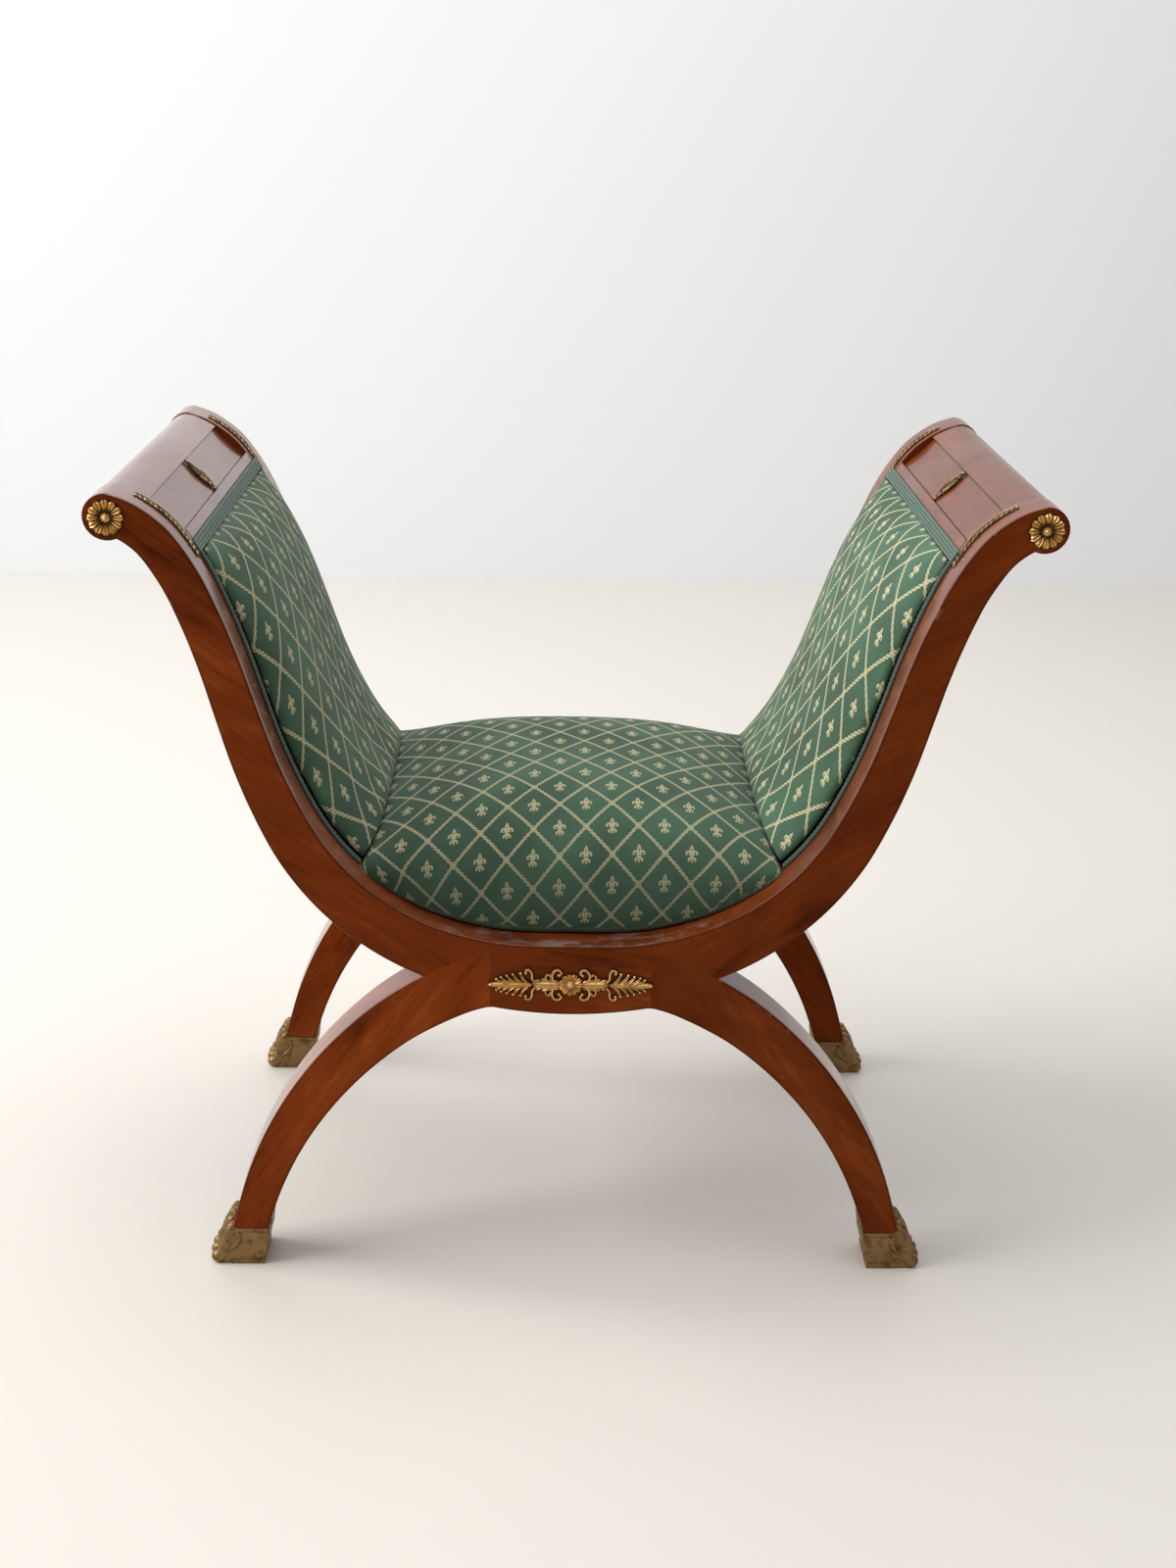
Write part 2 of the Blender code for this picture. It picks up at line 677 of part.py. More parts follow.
def pads(crest_end, fabric):
    """The seat's domed pad and the pads of the two arms."""
    joint = MIDDLE_S - SEAT_JOINT_FROM_MIDDLE
    foot = ARM.inset(joint, PAD_SEAT_DEPTH)
    lean = np.array([-SEAT_JOINT_LEAN, SEAT_JOINT_RISE])
    stations = np.linspace(joint, MIDDLE_S, PAD_ALONG // 2 + 1)
    half_bottom = [ARM.inset(s, PAD_SEAT_DEPTH) for s in stations]
    corner = foot + lean
    crown_height = ARM.point(MIDDLE_S)[1] + SEAT_CROWN_RISE
    half_top, half_lips = [], []
    for s, low in zip(stations, half_bottom):
        share = low[0] / foot[0]
        rise = (crown_height - corner[1]) * (1 - abs(share) ** SEAT_CROWN_POWER)
        high = np.array([corner[0] * share, corner[1] + rise])
        half_top.append(high)
        way = (high - low) / -np.dot(high - low, ARM.normal(s))
        half_lips.append(low + way * (PAD_SEAT_DEPTH + SOFT_GAP))
    halves = (half_bottom, half_top, half_lips)
    bottom, top, lips = [[*half, *[p * (-1, 1) for p in half[-2::-1]]] for half in halves]
    pad("seat_pad", bottom, top, SEAT_PAD_EDGE_SHARE, SEAT_PAD_POWERS, fabric, lips)
    lean_way = lean / np.linalg.norm(lean)
    start, end = crest_end + SOFT_GAP, joint - SOFT_GAP
    bottom, top = [], []
    for t in np.linspace(0, 1, PAD_ALONG + 1):
        s = start + (end - start) * t
        rise = ARM_PAD_TOP + (ARM_PAD_CROWN - ARM_PAD_TOP) * (1 - (1 - t) ** 4) ** (1 / 2.2)
        way = -ARM.normal(s)
        blend = max(t - 0.8, 0) / 0.2
        way = way * (1 - blend) + lean_way * blend
        low = ARM.inset(s, PAD_SEAT_DEPTH)
        bottom.append(low)
        top.append(low + way / np.linalg.norm(way) * (rise + PAD_SEAT_DEPTH))
    for side, sign in SIDES:
        shape = [mirrored(points, sign) for points in (bottom, top)]
        pad(f"arm_pad_{side}", *shape, ARM_PAD_EDGE_SHARE, ARM_PAD_POWERS, fabric)


def relief(name, place, outline, thickness, finish, rows):
    """A low cast mount over a flat seat.

    outline(t) gives its half width at share t of its length, and place(t, across, up) a point of
    it in the world.
    """
    rings = []
    for t in np.linspace(0, 1, rows):
        width = outline(t)
        ring = []
        for v in RELIEF_SECTION_SHARES:
            rise = thickness * (RELIEF_EDGE_SHARE + (1 - RELIEF_EDGE_SHARE) * (1 - v * v))
            ring.append(place(t, v * width, rise))
        rings.append([*ring, place(t, width, 0), place(t, -width, 0)])
    return loft(name, rings, finish)


def lobes(t, count):
    return abs(math.sin(math.pi * count * t))


def ornament_width(t):
    """Half height of the front mount: a rosette in the middle, leafy arms, pointed ends."""
    away = abs(2 * t - 1)
    rosette = math.exp(-((away / 0.13) ** 4))
    scrolls = 0.95 * math.exp(-(((away - 0.24) / 0.07) ** 2))
    leaves = 0.62 * math.exp(-(((away - 0.66) / 0.26) ** 2)) * (0.75 + 0.25 * lobes(away, 11))
    return ORNAMENT_HALF_HEIGHT * max(0.62 * rosette, scrolls, leaves, 0.10)


def mounts_of_gilt(gilt):
    """Front and back ornaments, scroll rosettes, crest leaves and the garlands on the arms."""
    middle = ARM.point(MIDDLE_S)[1] - ORNAMENT_DEPTH
    for place, sign_y in (("front", -1), ("back", 1)):
        face = sign_y * (DEPTH / 2 + GAP)

        def on_block(t, across_it, up, face=face, sign_y=sign_y):
            return ((t - 0.5) * ORNAMENT_LENGTH, face + sign_y * up, middle + across_it)

        relief(f"{place}_ornament", on_block, ornament_width, ORNAMENT_THICKNESS, gilt, 33)
        for side, sign in SIDES:
            rosette(f"{place}_rosette_{side}", sign * SCROLL_CENTRE[0], face, sign_y, gilt)
            garland(f"{place}_garland_{side}", sign, face - sign_y * GARLAND_FROM_FACE, gilt)
    for side, sign in SIDES:
        crest_leaf(f"crest_leaf_{side}", sign, gilt)


def rosette(name, x, face, sign_y, gilt):
    """A domed flower of ROSETTE_PETALS petals on the end of a scroll."""
    around = 2 * ROSETTE_PETALS
    rings = []
    for share, rise in ROSETTE_PROFILE_SHARES:
        ring = []
        for i in range(around):
            angle = math.tau * i / around
            petal = (1 + math.cos(ROSETTE_PETALS * angle)) / 2
            radius = ROSETTE_RADIUS * share * (1 - ROSETTE_NOTCH_SHARE * (1 - petal) * share**4)
            lift = ROSETTE_HEIGHT * rise * (1 - ROSETTE_VALLEY_SHARE * (1 - petal) * (share < 1))
            along, up = radius * math.cos(angle), radius * math.sin(angle)
            ring.append((x + along, face + sign_y * lift, SCROLL_CENTRE[1] + up))
        rings.append(ring)
    loft(name, rings, gilt)


def garland(name, sign, y, gilt):
    """A strip of gilt leaves along the top edge of an arm, beside the scroll."""

    def on_edge(t, across_it, up):
        x, z = ARM.inset(GARLAND_START + t * GARLAND_LENGTH, -GAP - up)
        return (sign * x, y + across_it, z)

    def width(t):
        return GARLAND_HALF_WIDTH * (0.45 + 0.55 * lobes(t, GARLAND_LEAVES))

    relief(name, on_edge, width, GARLAND_THICKNESS, gilt, 2 * GARLAND_LEAVES + 1)


def crest_leaf(name, sign, gilt):
    """A small leaf spray in the middle of a crest panel."""
    first = ARM.inset(PANEL_START, PANEL_INSET)
    last = ARM.inset(PANEL_START + PANEL_LENGTH - GAP, PANEL_INSET)
    length = np.linalg.norm(last - first)
    along = (last - first) / length
    out = np.array([along[1], -along[0]])
    start = (first + last) / 2 - along * LEAF_LENGTH / 2

    def on_panel(t, across_it, up):
        x, z = start + along * t * LEAF_LENGTH + out * (GAP + up)
        return (sign * x, across_it, z)

    def width(t):
        return LEAF_HALF_WIDTH * max(math.sin(math.pi * t) * (0.8 + 0.2 * lobes(t, 7)), 0.12)

    relief(name, on_panel, width, LEAF_THICKNESS, gilt, 15)


def braids(crest_end, braid):
    """The green braid round three sides of each arm pad: down both frames and over the rail."""
    foot = MIDDLE_S - SEAT_JOINT_FROM_MIDDLE - BRAID_END_CLEARANCE
    ends = (crest_end - BRAID_WIDTH, crest_end, foot)
    stations = [*np.linspace(ends[0], ends[1], 4), *np.linspace(ends[1], ends[2], BRAID_ALONG)[1:]]
    offsets = [-INNER_Y - BRAID_ON_FRAME, -INNER_Y, INNER_Y, INNER_Y + BRAID_ON_FRAME]
    wide, layer = len(offsets), len(stations) * len(offsets)
    cells = []
    for row in range(len(stations) - 1):
        cells.extend((row, column) for column in ((0, 1, 2) if row < 3 else (0, 2)))
    for side, sign in SIDES:
        verts, faces, rims = [], [], {}
        for depth in (-GAP - BRAID_THICKNESS, -GAP):
            for s in stations:
                x, z = ARM.inset(s, depth)
                verts.extend((sign * x, y, z) for y in offsets)
        for row, column in cells:
            a = row * wide + column
            corners = (a, a + 1, a + wide + 1, a + wide)
            faces.extend((corners, tuple(layer + c for c in corners)))
            for rim in zip(corners, (*corners[1:], corners[0])):
                rims.setdefault(frozenset(rim), []).append(rim)
        for (a, b), *shared in rims.values():
            if not shared:
                faces.append((a, b, layer + b, layer + a))
        name = f"arm_braid_{side}"
        make(name, mesh_of(name, verts, faces), braid)


def sabot_rings(sign, y):
    """Cross-sections of a sabot from its heel to its toes."""
    low_in, low_out = LEG.point(0), LEG.inset(0, leg_width(0))
    tip = np.linspace(0, LEG.length / 4, 8)
    tip_in = [LEG.point(s)[::-1] for s in tip]
    tip_out = [LEG.inset(s, leg_width(s))[::-1] for s in tip]
    heel = float(np.interp(SABOT_HEIGHT, *zip(*tip_in))) - SABOT_WALL
    rim = float(np.interp(SABOT_HEIGHT, *zip(*tip_out))) + SABOT_WALL
    toe = low_out[0] + SABOT_WALL + PAW_LENGTH
    lean = (low_in[0] - SABOT_WALL - heel) * SABOT_LEAN_SHARE
    rings = []
    for at, height, leaf, wide in SABOT_PROFILE_SHARES:
        x = heel + (rim - heel) * (1 + at) if at < 0 else rim + (toe - rim) * at
        toes = max(at, 0)
        reach = wide * (MEMBER_THICKNESS / 2 + SABOT_WALL)
        ring = []
        for v in np.linspace(-1, 1, 2 * SABOT_SPREAD + 1):
            notch = 1 - lobes((v + 1) / 2, PAW_TOES)
            rounded = 1 - (SABOT_ROUND_SHARE + SHOULDER_SHARE * toes) * abs(v) ** 5
            rise = SABOT_HEIGHT * height * rounded * (1 - KNUCKLE_SHARE * toes * notch)
            rise += SABOT_LEAF * leaf * max(1 - 2 * abs(v), 0)
            push = KNUCKLE_SHARE / 2 * (toe - rim) * toes**3 * notch
            ring.append((sign * (x - push), y + v * reach, rise))
        foot = sign * (x + lean * max(-at, 0))
        rings.append([*ring, (foot, y + reach, 0), (foot, y - reach, 0)])
    return rings


def sabots(brass):
    """Cast feet: a socket for the leg's tip, leaf tips on its rim and a paw that points outward."""
    stations = np.linspace(0, LEG.length / 3, 7)
    inner = [LEG.inset(s, -GAP) for s in stations]
    outer = leg_outer(GAP, stations)
    down = LEG.point(0) - LEG.point(LEG.length / 50)
    down *= GAP / np.linalg.norm(down)
    socket = [inner[0] + down, *inner[1:], *outer[:0:-1], outer[0] + down]
    reach = MEMBER_THICKNESS / 2 + GAP
    for place, sign_y in (("front", -1), ("back", 1)):
        y = sign_y * (DEPTH - MEMBER_THICKNESS) / 2
        for side, sign in SIDES:
            name = f"{place}_sabot_{side}"
            sabot = loft(name, sabot_rings(sign, y), brass)
            hole = plate(name + "_socket", mirrored(socket, sign), y - reach, y + reach, brass)
            boolean(sabot, cutter(hole), "DIFFERENCE")


def build():
    clear_scene()
    wood = material("mahogany", (0.23, 0.065, 0.022), 0.25)
    beech = material("beech", (0.55, 0.40, 0.25), 0.6)
    jute = material("jute", (0.42, 0.33, 0.20), 0.9)
    fabric = material("green_fabric", (0.06, 0.16, 0.10), 0.85)
    cloth = material("black_cloth", (0.02, 0.02, 0.02), 0.9)
    braid = material("green_braid", (0.05, 0.15, 0.11), 0.8)
    gilt = material("gilt_bronze", (0.60, 0.42, 0.16), 0.35, 1.0)
    brass = material("old_brass", (0.30, 0.22, 0.10), 0.45, 1.0)
    pieces = frames(wood)
    dowels(pieces, beech)
    rails(pieces, beech)
    crest_end = crests(wood)
    supports(crest_end, beech, jute)
    covers(fabric, cloth)
    pads(crest_end, fabric)
    braids(crest_end, braid)
    mounts_of_gilt(gilt)
    sabots(brass)


build()
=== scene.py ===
"""Looks of the curule bench: polished mahogany, lattice fabric, gilt mounts and cast paw feet.

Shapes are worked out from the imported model: smooth frames from the sections of its faceted ones,
pads from the sections of its plain ones, and mounts from the boxes that they fill.
"""
import json
import math
from functools import partialmethod

import bmesh
import bpy
import numpy as np
from mathutils import Matrix, Vector


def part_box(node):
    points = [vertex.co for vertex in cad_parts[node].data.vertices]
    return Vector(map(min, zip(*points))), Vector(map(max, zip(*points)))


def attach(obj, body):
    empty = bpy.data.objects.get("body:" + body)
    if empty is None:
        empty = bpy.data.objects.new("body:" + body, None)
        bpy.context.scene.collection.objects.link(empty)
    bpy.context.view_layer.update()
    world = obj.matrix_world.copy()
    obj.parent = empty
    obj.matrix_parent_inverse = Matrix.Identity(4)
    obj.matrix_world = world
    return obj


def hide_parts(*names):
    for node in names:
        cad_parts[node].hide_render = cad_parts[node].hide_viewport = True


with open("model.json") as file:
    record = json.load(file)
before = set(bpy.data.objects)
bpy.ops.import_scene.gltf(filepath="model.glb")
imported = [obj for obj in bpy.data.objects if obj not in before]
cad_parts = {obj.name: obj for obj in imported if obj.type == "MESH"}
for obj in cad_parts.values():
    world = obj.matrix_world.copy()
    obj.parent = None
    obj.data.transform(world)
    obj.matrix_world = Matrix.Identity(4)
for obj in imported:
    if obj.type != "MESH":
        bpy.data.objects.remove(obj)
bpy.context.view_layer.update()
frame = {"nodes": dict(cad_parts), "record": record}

# Sides and places with their signs of X and Y, and the four pairs of them
SIDES = {"left": -1, "right": 1}
PLACES = {"front": -1, "back": 1}
CORNERS = [(place, side) for place in PLACES for side in SIDES]

# Camera of the photograph
CAMERA_PLACE = (-0.0176, -1.6769, 1.0110)
CAMERA_DOWN, CAMERA_ROLL, CAMERA_TURN = 0.35854, 0.0190, -0.01955
CAMERA_LENS = 45.0

# Light: each lamp's name, place, size, power and colour
WORLD_COLOUR, WORLD_STRENGTH = (1.0, 0.97, 0.935, 1.0), 0.40
LAMPS = (
    ("window", (-2.9, -0.3, 2.3), 2.4, 112, (1.0, 0.99, 0.97)),
    ("top", (0.2, 0.4, 3.0), 2.8, 42, (1.0, 1.0, 1.0)),
)
LAMP_TARGET = Vector((0, 0, 0.35))

# Outlines, with lengths in metres and angles in radians, here and below
WELD = 1e-5
STEP = 0.0025
SAME_LINE = 0.0008
STRAIGHT_TURN = 0.004
CORNER_ANGLE = math.radians(17)
PAD_CORNER_ANGLE = math.radians(42)
SMOOTH_ANGLE = math.radians(32)

# Wooden pieces: arrises, seams, and edge bands of wear and painted shade, then for each kind the turn
# of its grain, its shade and gloss, and the heights between which the rim below the seat is dulled
ARRIS_RADIUS = 0.0013
CREST_ARRIS = 0.0006
CLOTH_ARRIS = 0.0004
SEAM_RADIUS = 0.00015
SEAM_CLOSING = 0.00014
EDGE_WEAR_AND_SHADE_BAND = 0.0030
# The shades also paint the window's light: the left pieces are made lighter than the right ones
FRAME_WOODS = {
    "arm_left": (0.95, 1.08, 0.80),
    "arm_right": (-0.95, 0.98, 0.45),
    "leg_left": (-0.62, 1.40, 0.80),
    "leg_right": (0.62, 0.92, 0.80),
    "centre_block": (1.45, 1.05, 0.80),
}
CREST_SHADE = 0.95
CREST_GLOSS = {"left": 0.95, "right": 0.45}
DULLED_FROM, DULLED_TO = (0.27, 0.30), (0.318, 0.352)

# Fabric: width and height of the lattice, and the place of one lily
SEAT_LATTICE = (0.0445, 0.0525, 0.0116, -0.0128)
ARM_LATTICES = {"left": (0.0495, 0.0608, -0.100, -0.087), "right": (0.0495, 0.0606, -0.0875, -0.087)}
COVER_LATTICE = (0.0470, 0.0570, 0.0, 0.55)

# Lean of the pattern, as a share; on the arms also how far from the first end it has none
SEAT_PATTERN_LEAN = (-0.065,)
ARM_PATTERN_LEANS = {"left": (0.13, 0.165), "right": (0.11, 0.100)}

# Fabric: painted shade at the seat's low front, painted light on the arms, and the sizes of lilies,
# chain stitches and threads
SEAT_PAINTED_SHADE, PAINTED_SHADE_HEIGHTS = 0.42, (0.350, 0.394)
# The right arm's fabric is painted lighter, for the window's light that falls on it
ARM_PAINTED_LIGHT = {"left": 1.0, "right": 1.30}
LILY_SIZE = 0.0083
LILY_NARROWING = 0.84
STITCHES, STITCH_SWING = 4, 0.028
STRAND_WIDTH, STRAND_EDGE = 0.0165, 0.005
FABRIC_WOBBLE = 0.0012
THREAD_PITCH = 0.00075

# Pads: each end's place, depth and span, the edge's height as a share, the crown's powers and the
# fill, then the puckers along the sides and the cloth that is blown up a little
SEAT_PAD = (((0.0, 0.10, 0.014), (1.0, 0.10, 0.014)), 0.05, (4.0, 2.3), 0.9)
ARM_PAD = (((0.0, 0.0, 0.010), (1.0, 0.08, 0.016)), 0.21, (3.2, 2.1), 0.85)
PAD_RIM = 0.0012
PAD_TUCK = 0.0009
PAD_LEVEL_SPAN = 0.016
PAD_STEP = 0.0045
PAD_SWELL_CAP = 0.0035
PUCKER_STEP = 0.0085
PUCKER_DEPTH = 0.0007
PUCKER_REACH = 0.035
PUCKER_SWAY, PUCKER_SWAY_RATE = 1.3, 80
LIP_INSET = 0.002
CLOTH_FRAMES = 20
CLOTH = {
    "quality": 5, "mass": 0.25, "vertex_group_mass": "pins", "tension_stiffness": 18,
    "compression_stiffness": 12, "bending_stiffness": 0.9, "use_pressure": True,
    "uniform_pressure_force": 3.5,
}

# Outer covers, and braids: their cords' points across, number and lowest share of the height
COVER_TUCK = 0.0080
COVER_ROWS, COVER_COLUMNS = 60, 25
BRAID_TWIST = 0.0021
BRAID_KNOT = 0.0040
BRAID_STEP = 0.0010
BRAID_GAP = 0.0006
CREST_CORDS = (29, 4, 0.60)
SIDE_CORDS = (21, 2, 0.30)

# Ornament, in seventieths of its half length: scrolls with a width, husk leaves, palmette fingers
# and the leaves and drop along its middle, each with a width, height, groove and taper
ORNAMENT_SCROLLS = (
    (((12.5, 1.5), (15.2, 5.0), (15.6, 9.4), (13.2, 13.2), (9.6, 13.4), (8.0, 10.8), (9.8, 8.8)), 1.15),
    (((17.5, 2.0), (20.6, 5.0), (20.8, 8.2), (18.4, 9.6), (17.2, 7.8)), 0.95),
    (((30.0, 2.2), (32.4, 6.0), (32.6, 10.2), (34.6, 13.4), (37.6, 13.0), (37.6, 10.6)), 1.10),
)
ORNAMENT_HUSKS = ((9.5, 4.2), (14.0, 5.6), (19.0, 5.8), (24.0, 4.6))
ORNAMENT_FINGERS = (
    (35.0, 42.0, 10.2), (39.5, 48.2, 9.2), (44.2, 53.4, 8.0), (49.0, 58.2, 6.5), (53.5, 62.2, 4.8),
)
ORNAMENT_SPINE = (
    ((9, 17, 26, 34), 3.9, 0.88, 0.35, 0.6),
    ((33, 42, 50, 58), 2.2, 0.80, 0.3, 0.3),
    ((56, 60, 65, 69.8), 2.7, 0.9, 0.2, 0.45),
)

# Leaf sprays: pairs of leaves, leaf width, height, lean and narrowing, then the dome's lowest share
CREST_SPRAY, CREST_DOME = (5, 0.0015, 0.0030, 0.72, 0.93), 0.55
GARLAND_SPRAY, GARLAND_DOME = (15, 0.00125, 0.0023, 0.68, 0), 0.45

# Cast feet: height of the rim, its place as a share of the length, lean of the heel, inset of the
# curls, number of toes, and the grain of the skin that joins their forms
SABOT_RIM = 0.0360
SABOT_RIM_SHARE = 0.635
SABOT_LEAN = 0.0065
SABOT_SIDE = 0.0008
SABOT_TOES = 4
SABOT_VOXEL = 0.00072

# Tones, as linear colours
MAHOGANY_DARK = (0.066, 0.0115, 0.0016)
MAHOGANY_MID = (0.158, 0.0285, 0.0040)
MAHOGANY_LIGHT = (0.245, 0.053, 0.0095)
WORN_WOOD = (0.30, 0.150, 0.075)
DULLED = (0.21, 0.17, 0.145)
STAINED_WOOD = (0.110, 0.040, 0.014)
FABRIC_GREEN = (0.043, 0.110, 0.061)
FABRIC_DEEP = (0.025, 0.065, 0.036)
FABRIC_CREAM = (0.46, 0.42, 0.25)
BRAID_GREEN = (0.045, 0.125, 0.082)
BEECH = (0.50, 0.34, 0.19)
JUTE = (0.40, 0.30, 0.17)
BLACK_CLOTH = (0.018, 0.017, 0.016)
FLOOR = (0.76, 0.73, 0.68)
WALL = (0.83, 0.85, 0.88)

# Metals: bright and dark tone, roughness, and how far dirt has stained the bright places
METALS = {
    "gilt_bronze": ((0.78, 0.50, 0.20), (0.075, 0.040, 0.014), 0.36, 0.35),
    "aged_gilt": ((0.44, 0.33, 0.18), (0.036, 0.026, 0.014), 0.42, 0.60),
    "old_brass": ((0.27, 0.165, 0.070), (0.026, 0.015, 0.007), 0.40, 0.45),
}


def times(colour, share):
    """A colour made darker or lighter by a factor."""
    return [c * share for c in colour]


def put(target, value):
    """Links a Socket to a node's input, or sets the input to a plain value."""
    if isinstance(value, Socket):
        value.tree.links.new(value.socket, target)
    else:
        target.default_value = value


def fill(node, **values):
    """Sets a node's inputs by their names, with underscores for spaces."""
    for name, value in values.items():
        put(node.inputs[name.replace("_", " ")], value)


class Socket:
    """A value in a material's node tree, with Python's operators."""

    def __init__(self, tree, socket):
        self.tree = tree
        self.socket = socket

    def compute(self, operation, *others):
        node = self.tree.nodes.new("ShaderNodeMath")
        node.operation = operation
        for target, value in zip(node.inputs, (self, *others)):
            put(target, value)
        return Socket(self.tree, node.outputs[0])

    __add__ = partialmethod(compute, "ADD")
    __sub__ = partialmethod(compute, "SUBTRACT")
    __mul__ = partialmethod(compute, "MULTIPLY")
    __truediv__ = partialmethod(compute, "DIVIDE")
    __abs__ = partialmethod(compute, "ABSOLUTE")
    sin = partialmethod(compute, "SINE")
    fraction = partialmethod(compute, "FRACT")
    root = partialmethod(compute, "SQRT")
    least = partialmethod(compute, "MINIMUM")
    most = partialmethod(compute, "MAXIMUM")

    def ramp(self, low, high, low_value=0.0, high_value=1.0):
        """A smooth step from one value to another."""
        node = self.tree.nodes.new("ShaderNodeMapRange")
        node.interpolation_type = "SMOOTHSTEP"
        fill(node, Value=self, From_Min=low, From_Max=high, To_Min=low_value, To_Max=high_value)
        return Socket(self.tree, node.outputs["Result"])


class Look:
    """A Principled material under construction."""

    def __init__(self, name, roughness=0.5, metallic=0.0, sheen=0.0):
        self.material = bpy.data.materials.new(name)
        self.material.use_nodes = True
        self.tree = self.material.node_tree
        self.shader = self.tree.nodes["Principled BSDF"]
        self.set(Roughness=roughness, Metallic=metallic, Sheen_Weight=sheen)

    def set(self, **values):
        """Sets inputs of the shader, as fill does."""
        fill(self.shader, **values)

    def node(self, kind, **values):
        made = self.tree.nodes.new("ShaderNode" + kind)
        fill(made, **values)
        return made

    def wrap(self, node, output=0):
        return Socket(self.tree, node.outputs[output])

    def place(self, turn=(0, 0, 0), stretch=(1, 1, 1), shift=(0, 0, 0), source="Object"):
        """Coordinates of the surface, turned and shifted, then stretched."""
        start = self.node("UVMap" if source == "UV" else "TexCoord")
        turned = self.node("Mapping", Vector=self.wrap(start, source), Rotation=turn, Location=shift)
        return self.wrap(self.node("Mapping", Vector=self.wrap(turned), Scale=stretch))

    def split(self, vector):
        node = self.node("SeparateXYZ", Vector=vector)
        return [self.wrap(node, axis) for axis in range(3)]

    def noise(self, vector, scale, detail, roughness=0.5, distortion=0.0):
        made = self.node("TexNoise", Vector=vector, Scale=scale, Detail=detail)
        fill(made, Roughness=roughness, Distortion=distortion)
        return self.wrap(made)

    def geometry(self, output):
        return self.wrap(self.node("NewGeometry"), output)

    def attribute(self, name):
        node = self.node("Attribute")
        node.attribute_name = name
        return self.wrap(node, "Fac")

    def mix(self, share, first, second):
        """Colour first where share is 0, second where it is 1."""
        node = self.node("Mix")
        node.data_type = "RGBA"
        fill(node, Factor=share)
        colours = [i for i in node.inputs if i.type == "RGBA"]
        for target, value in zip(colours, (first, second)):
            put(target, value if isinstance(value, Socket) else (*value, 1.0))
        return Socket(self.tree, next(o for o in node.outputs if o.type == "RGBA"))

    def bump(self, height, strength, distance):
        normal = self.wrap(self.node("Bump", Strength=strength, Distance=distance, Height=height))
        self.set(Normal=normal, Coat_Normal=normal)


def mahogany(name, grain_turn, shade, gloss, stretch=(1, 1, 0.13)):
    """French-polished mahogany: the grain runs along Z after the turn about Y."""
    look = Look(name)
    look.set(Coat_Roughness=0.12)
    whole = look.place()
    grain = look.place((0, grain_turn, 0), stretch)
    fine_grain = look.place((0, grain_turn, 0), (1, 1, 0.06))
    slanting = look.place((0, grain_turn + 0.5, 0), (1, 1, 0.22))
    figure = look.noise(grain, 20, 3, 0.5, 1.0)
    streaks = look.noise(grain, 130, 3, 0.65, 0.6)
    pores = look.noise(fine_grain, 900, 2)
    clouds = look.noise(whole, 9, 2)
    flame = look.noise(slanting, 24, 2, 0.5, 0.6)
    tone = figure * 0.34 + flame * 0.24 + streaks * 0.26 + clouds * 0.16
    # Shade scales the tones; for the frames it also paints the window's light, lighter on the left
    dark, mid, light = (times(c, shade) for c in (MAHOGANY_DARK, MAHOGANY_MID, MAHOGANY_LIGHT))
    colour = look.mix(tone.ramp(0.36, 0.50), dark, mid)
    colour = look.mix(tone.ramp(0.49, 0.64), colour, light)
    colour = look.mix(pores.ramp(0.62, 0.72, 0, 0.35), colour, dark)
    edge = look.attribute("edge")
    # The arrises are darkened: partly painted shade, partly dirt
    colour = look.mix(edge.ramp(0.55, 1, 0, 0.6), colour, dark)
    chips = look.noise(whole, 130, 3, 0.65)
    patches = look.noise(whole, 17, 2)
    worn = edge * chips.ramp(0.56, 0.68) * patches.ramp(0.56, 0.68)
    colour = look.mix(worn * 0.45, colour, WORN_WOOD)
    scuffs = look.noise(look.place(stretch=(0.25, 1, 1)), 260, 2).ramp(0.70, 0.76, 0, 0.22)
    colour = look.mix(scuffs * clouds.ramp(0.5, 0.62), colour, WORN_WOOD)
    _, face_y, face_z = look.split(look.geometry("Normal"))
    height = look.split(whole)[2]
    dulled = face_z.ramp(0.6, 0.8) * height.ramp(*DULLED_TO, 1, 0) * height.ramp(*DULLED_FROM)
    smears = look.noise(look.place(stretch=(0.5, 1, 1)), 70, 4, 0.7)
    dulled = dulled * smears.ramp(0.48, 0.66, 0, 0.6)
    polish = abs(face_y).ramp(0.3, 0.9, gloss, 0.04)
    look.set(
        Base_Color=look.mix(dulled, colour, DULLED),
        Coat_Weight=polish * (dulled * -0.8 + 1),
        Specular_IOR_Level=polish * 0.35,
        Roughness=clouds.ramp(0.3, 0.7, 0.26, 0.40) + worn * 0.3 + dulled * 0.4,
    )
    relief = pores * 0.25 + figure * 0.35 + look.noise(whole, 38, 2) * 0.9 - worn * 0.8
    look.bump(relief, 0.14, 0.0006)
    return look.material


def band(distance, width, soft):
    """1 within width of distance 0, falling off over soft."""
    return distance.ramp(width - soft, width + soft, 1, 0)


def circle(across, up, radius):
    """How far a place is from a circle about the origin."""
    return abs((across * across + up * up).root() - radius)


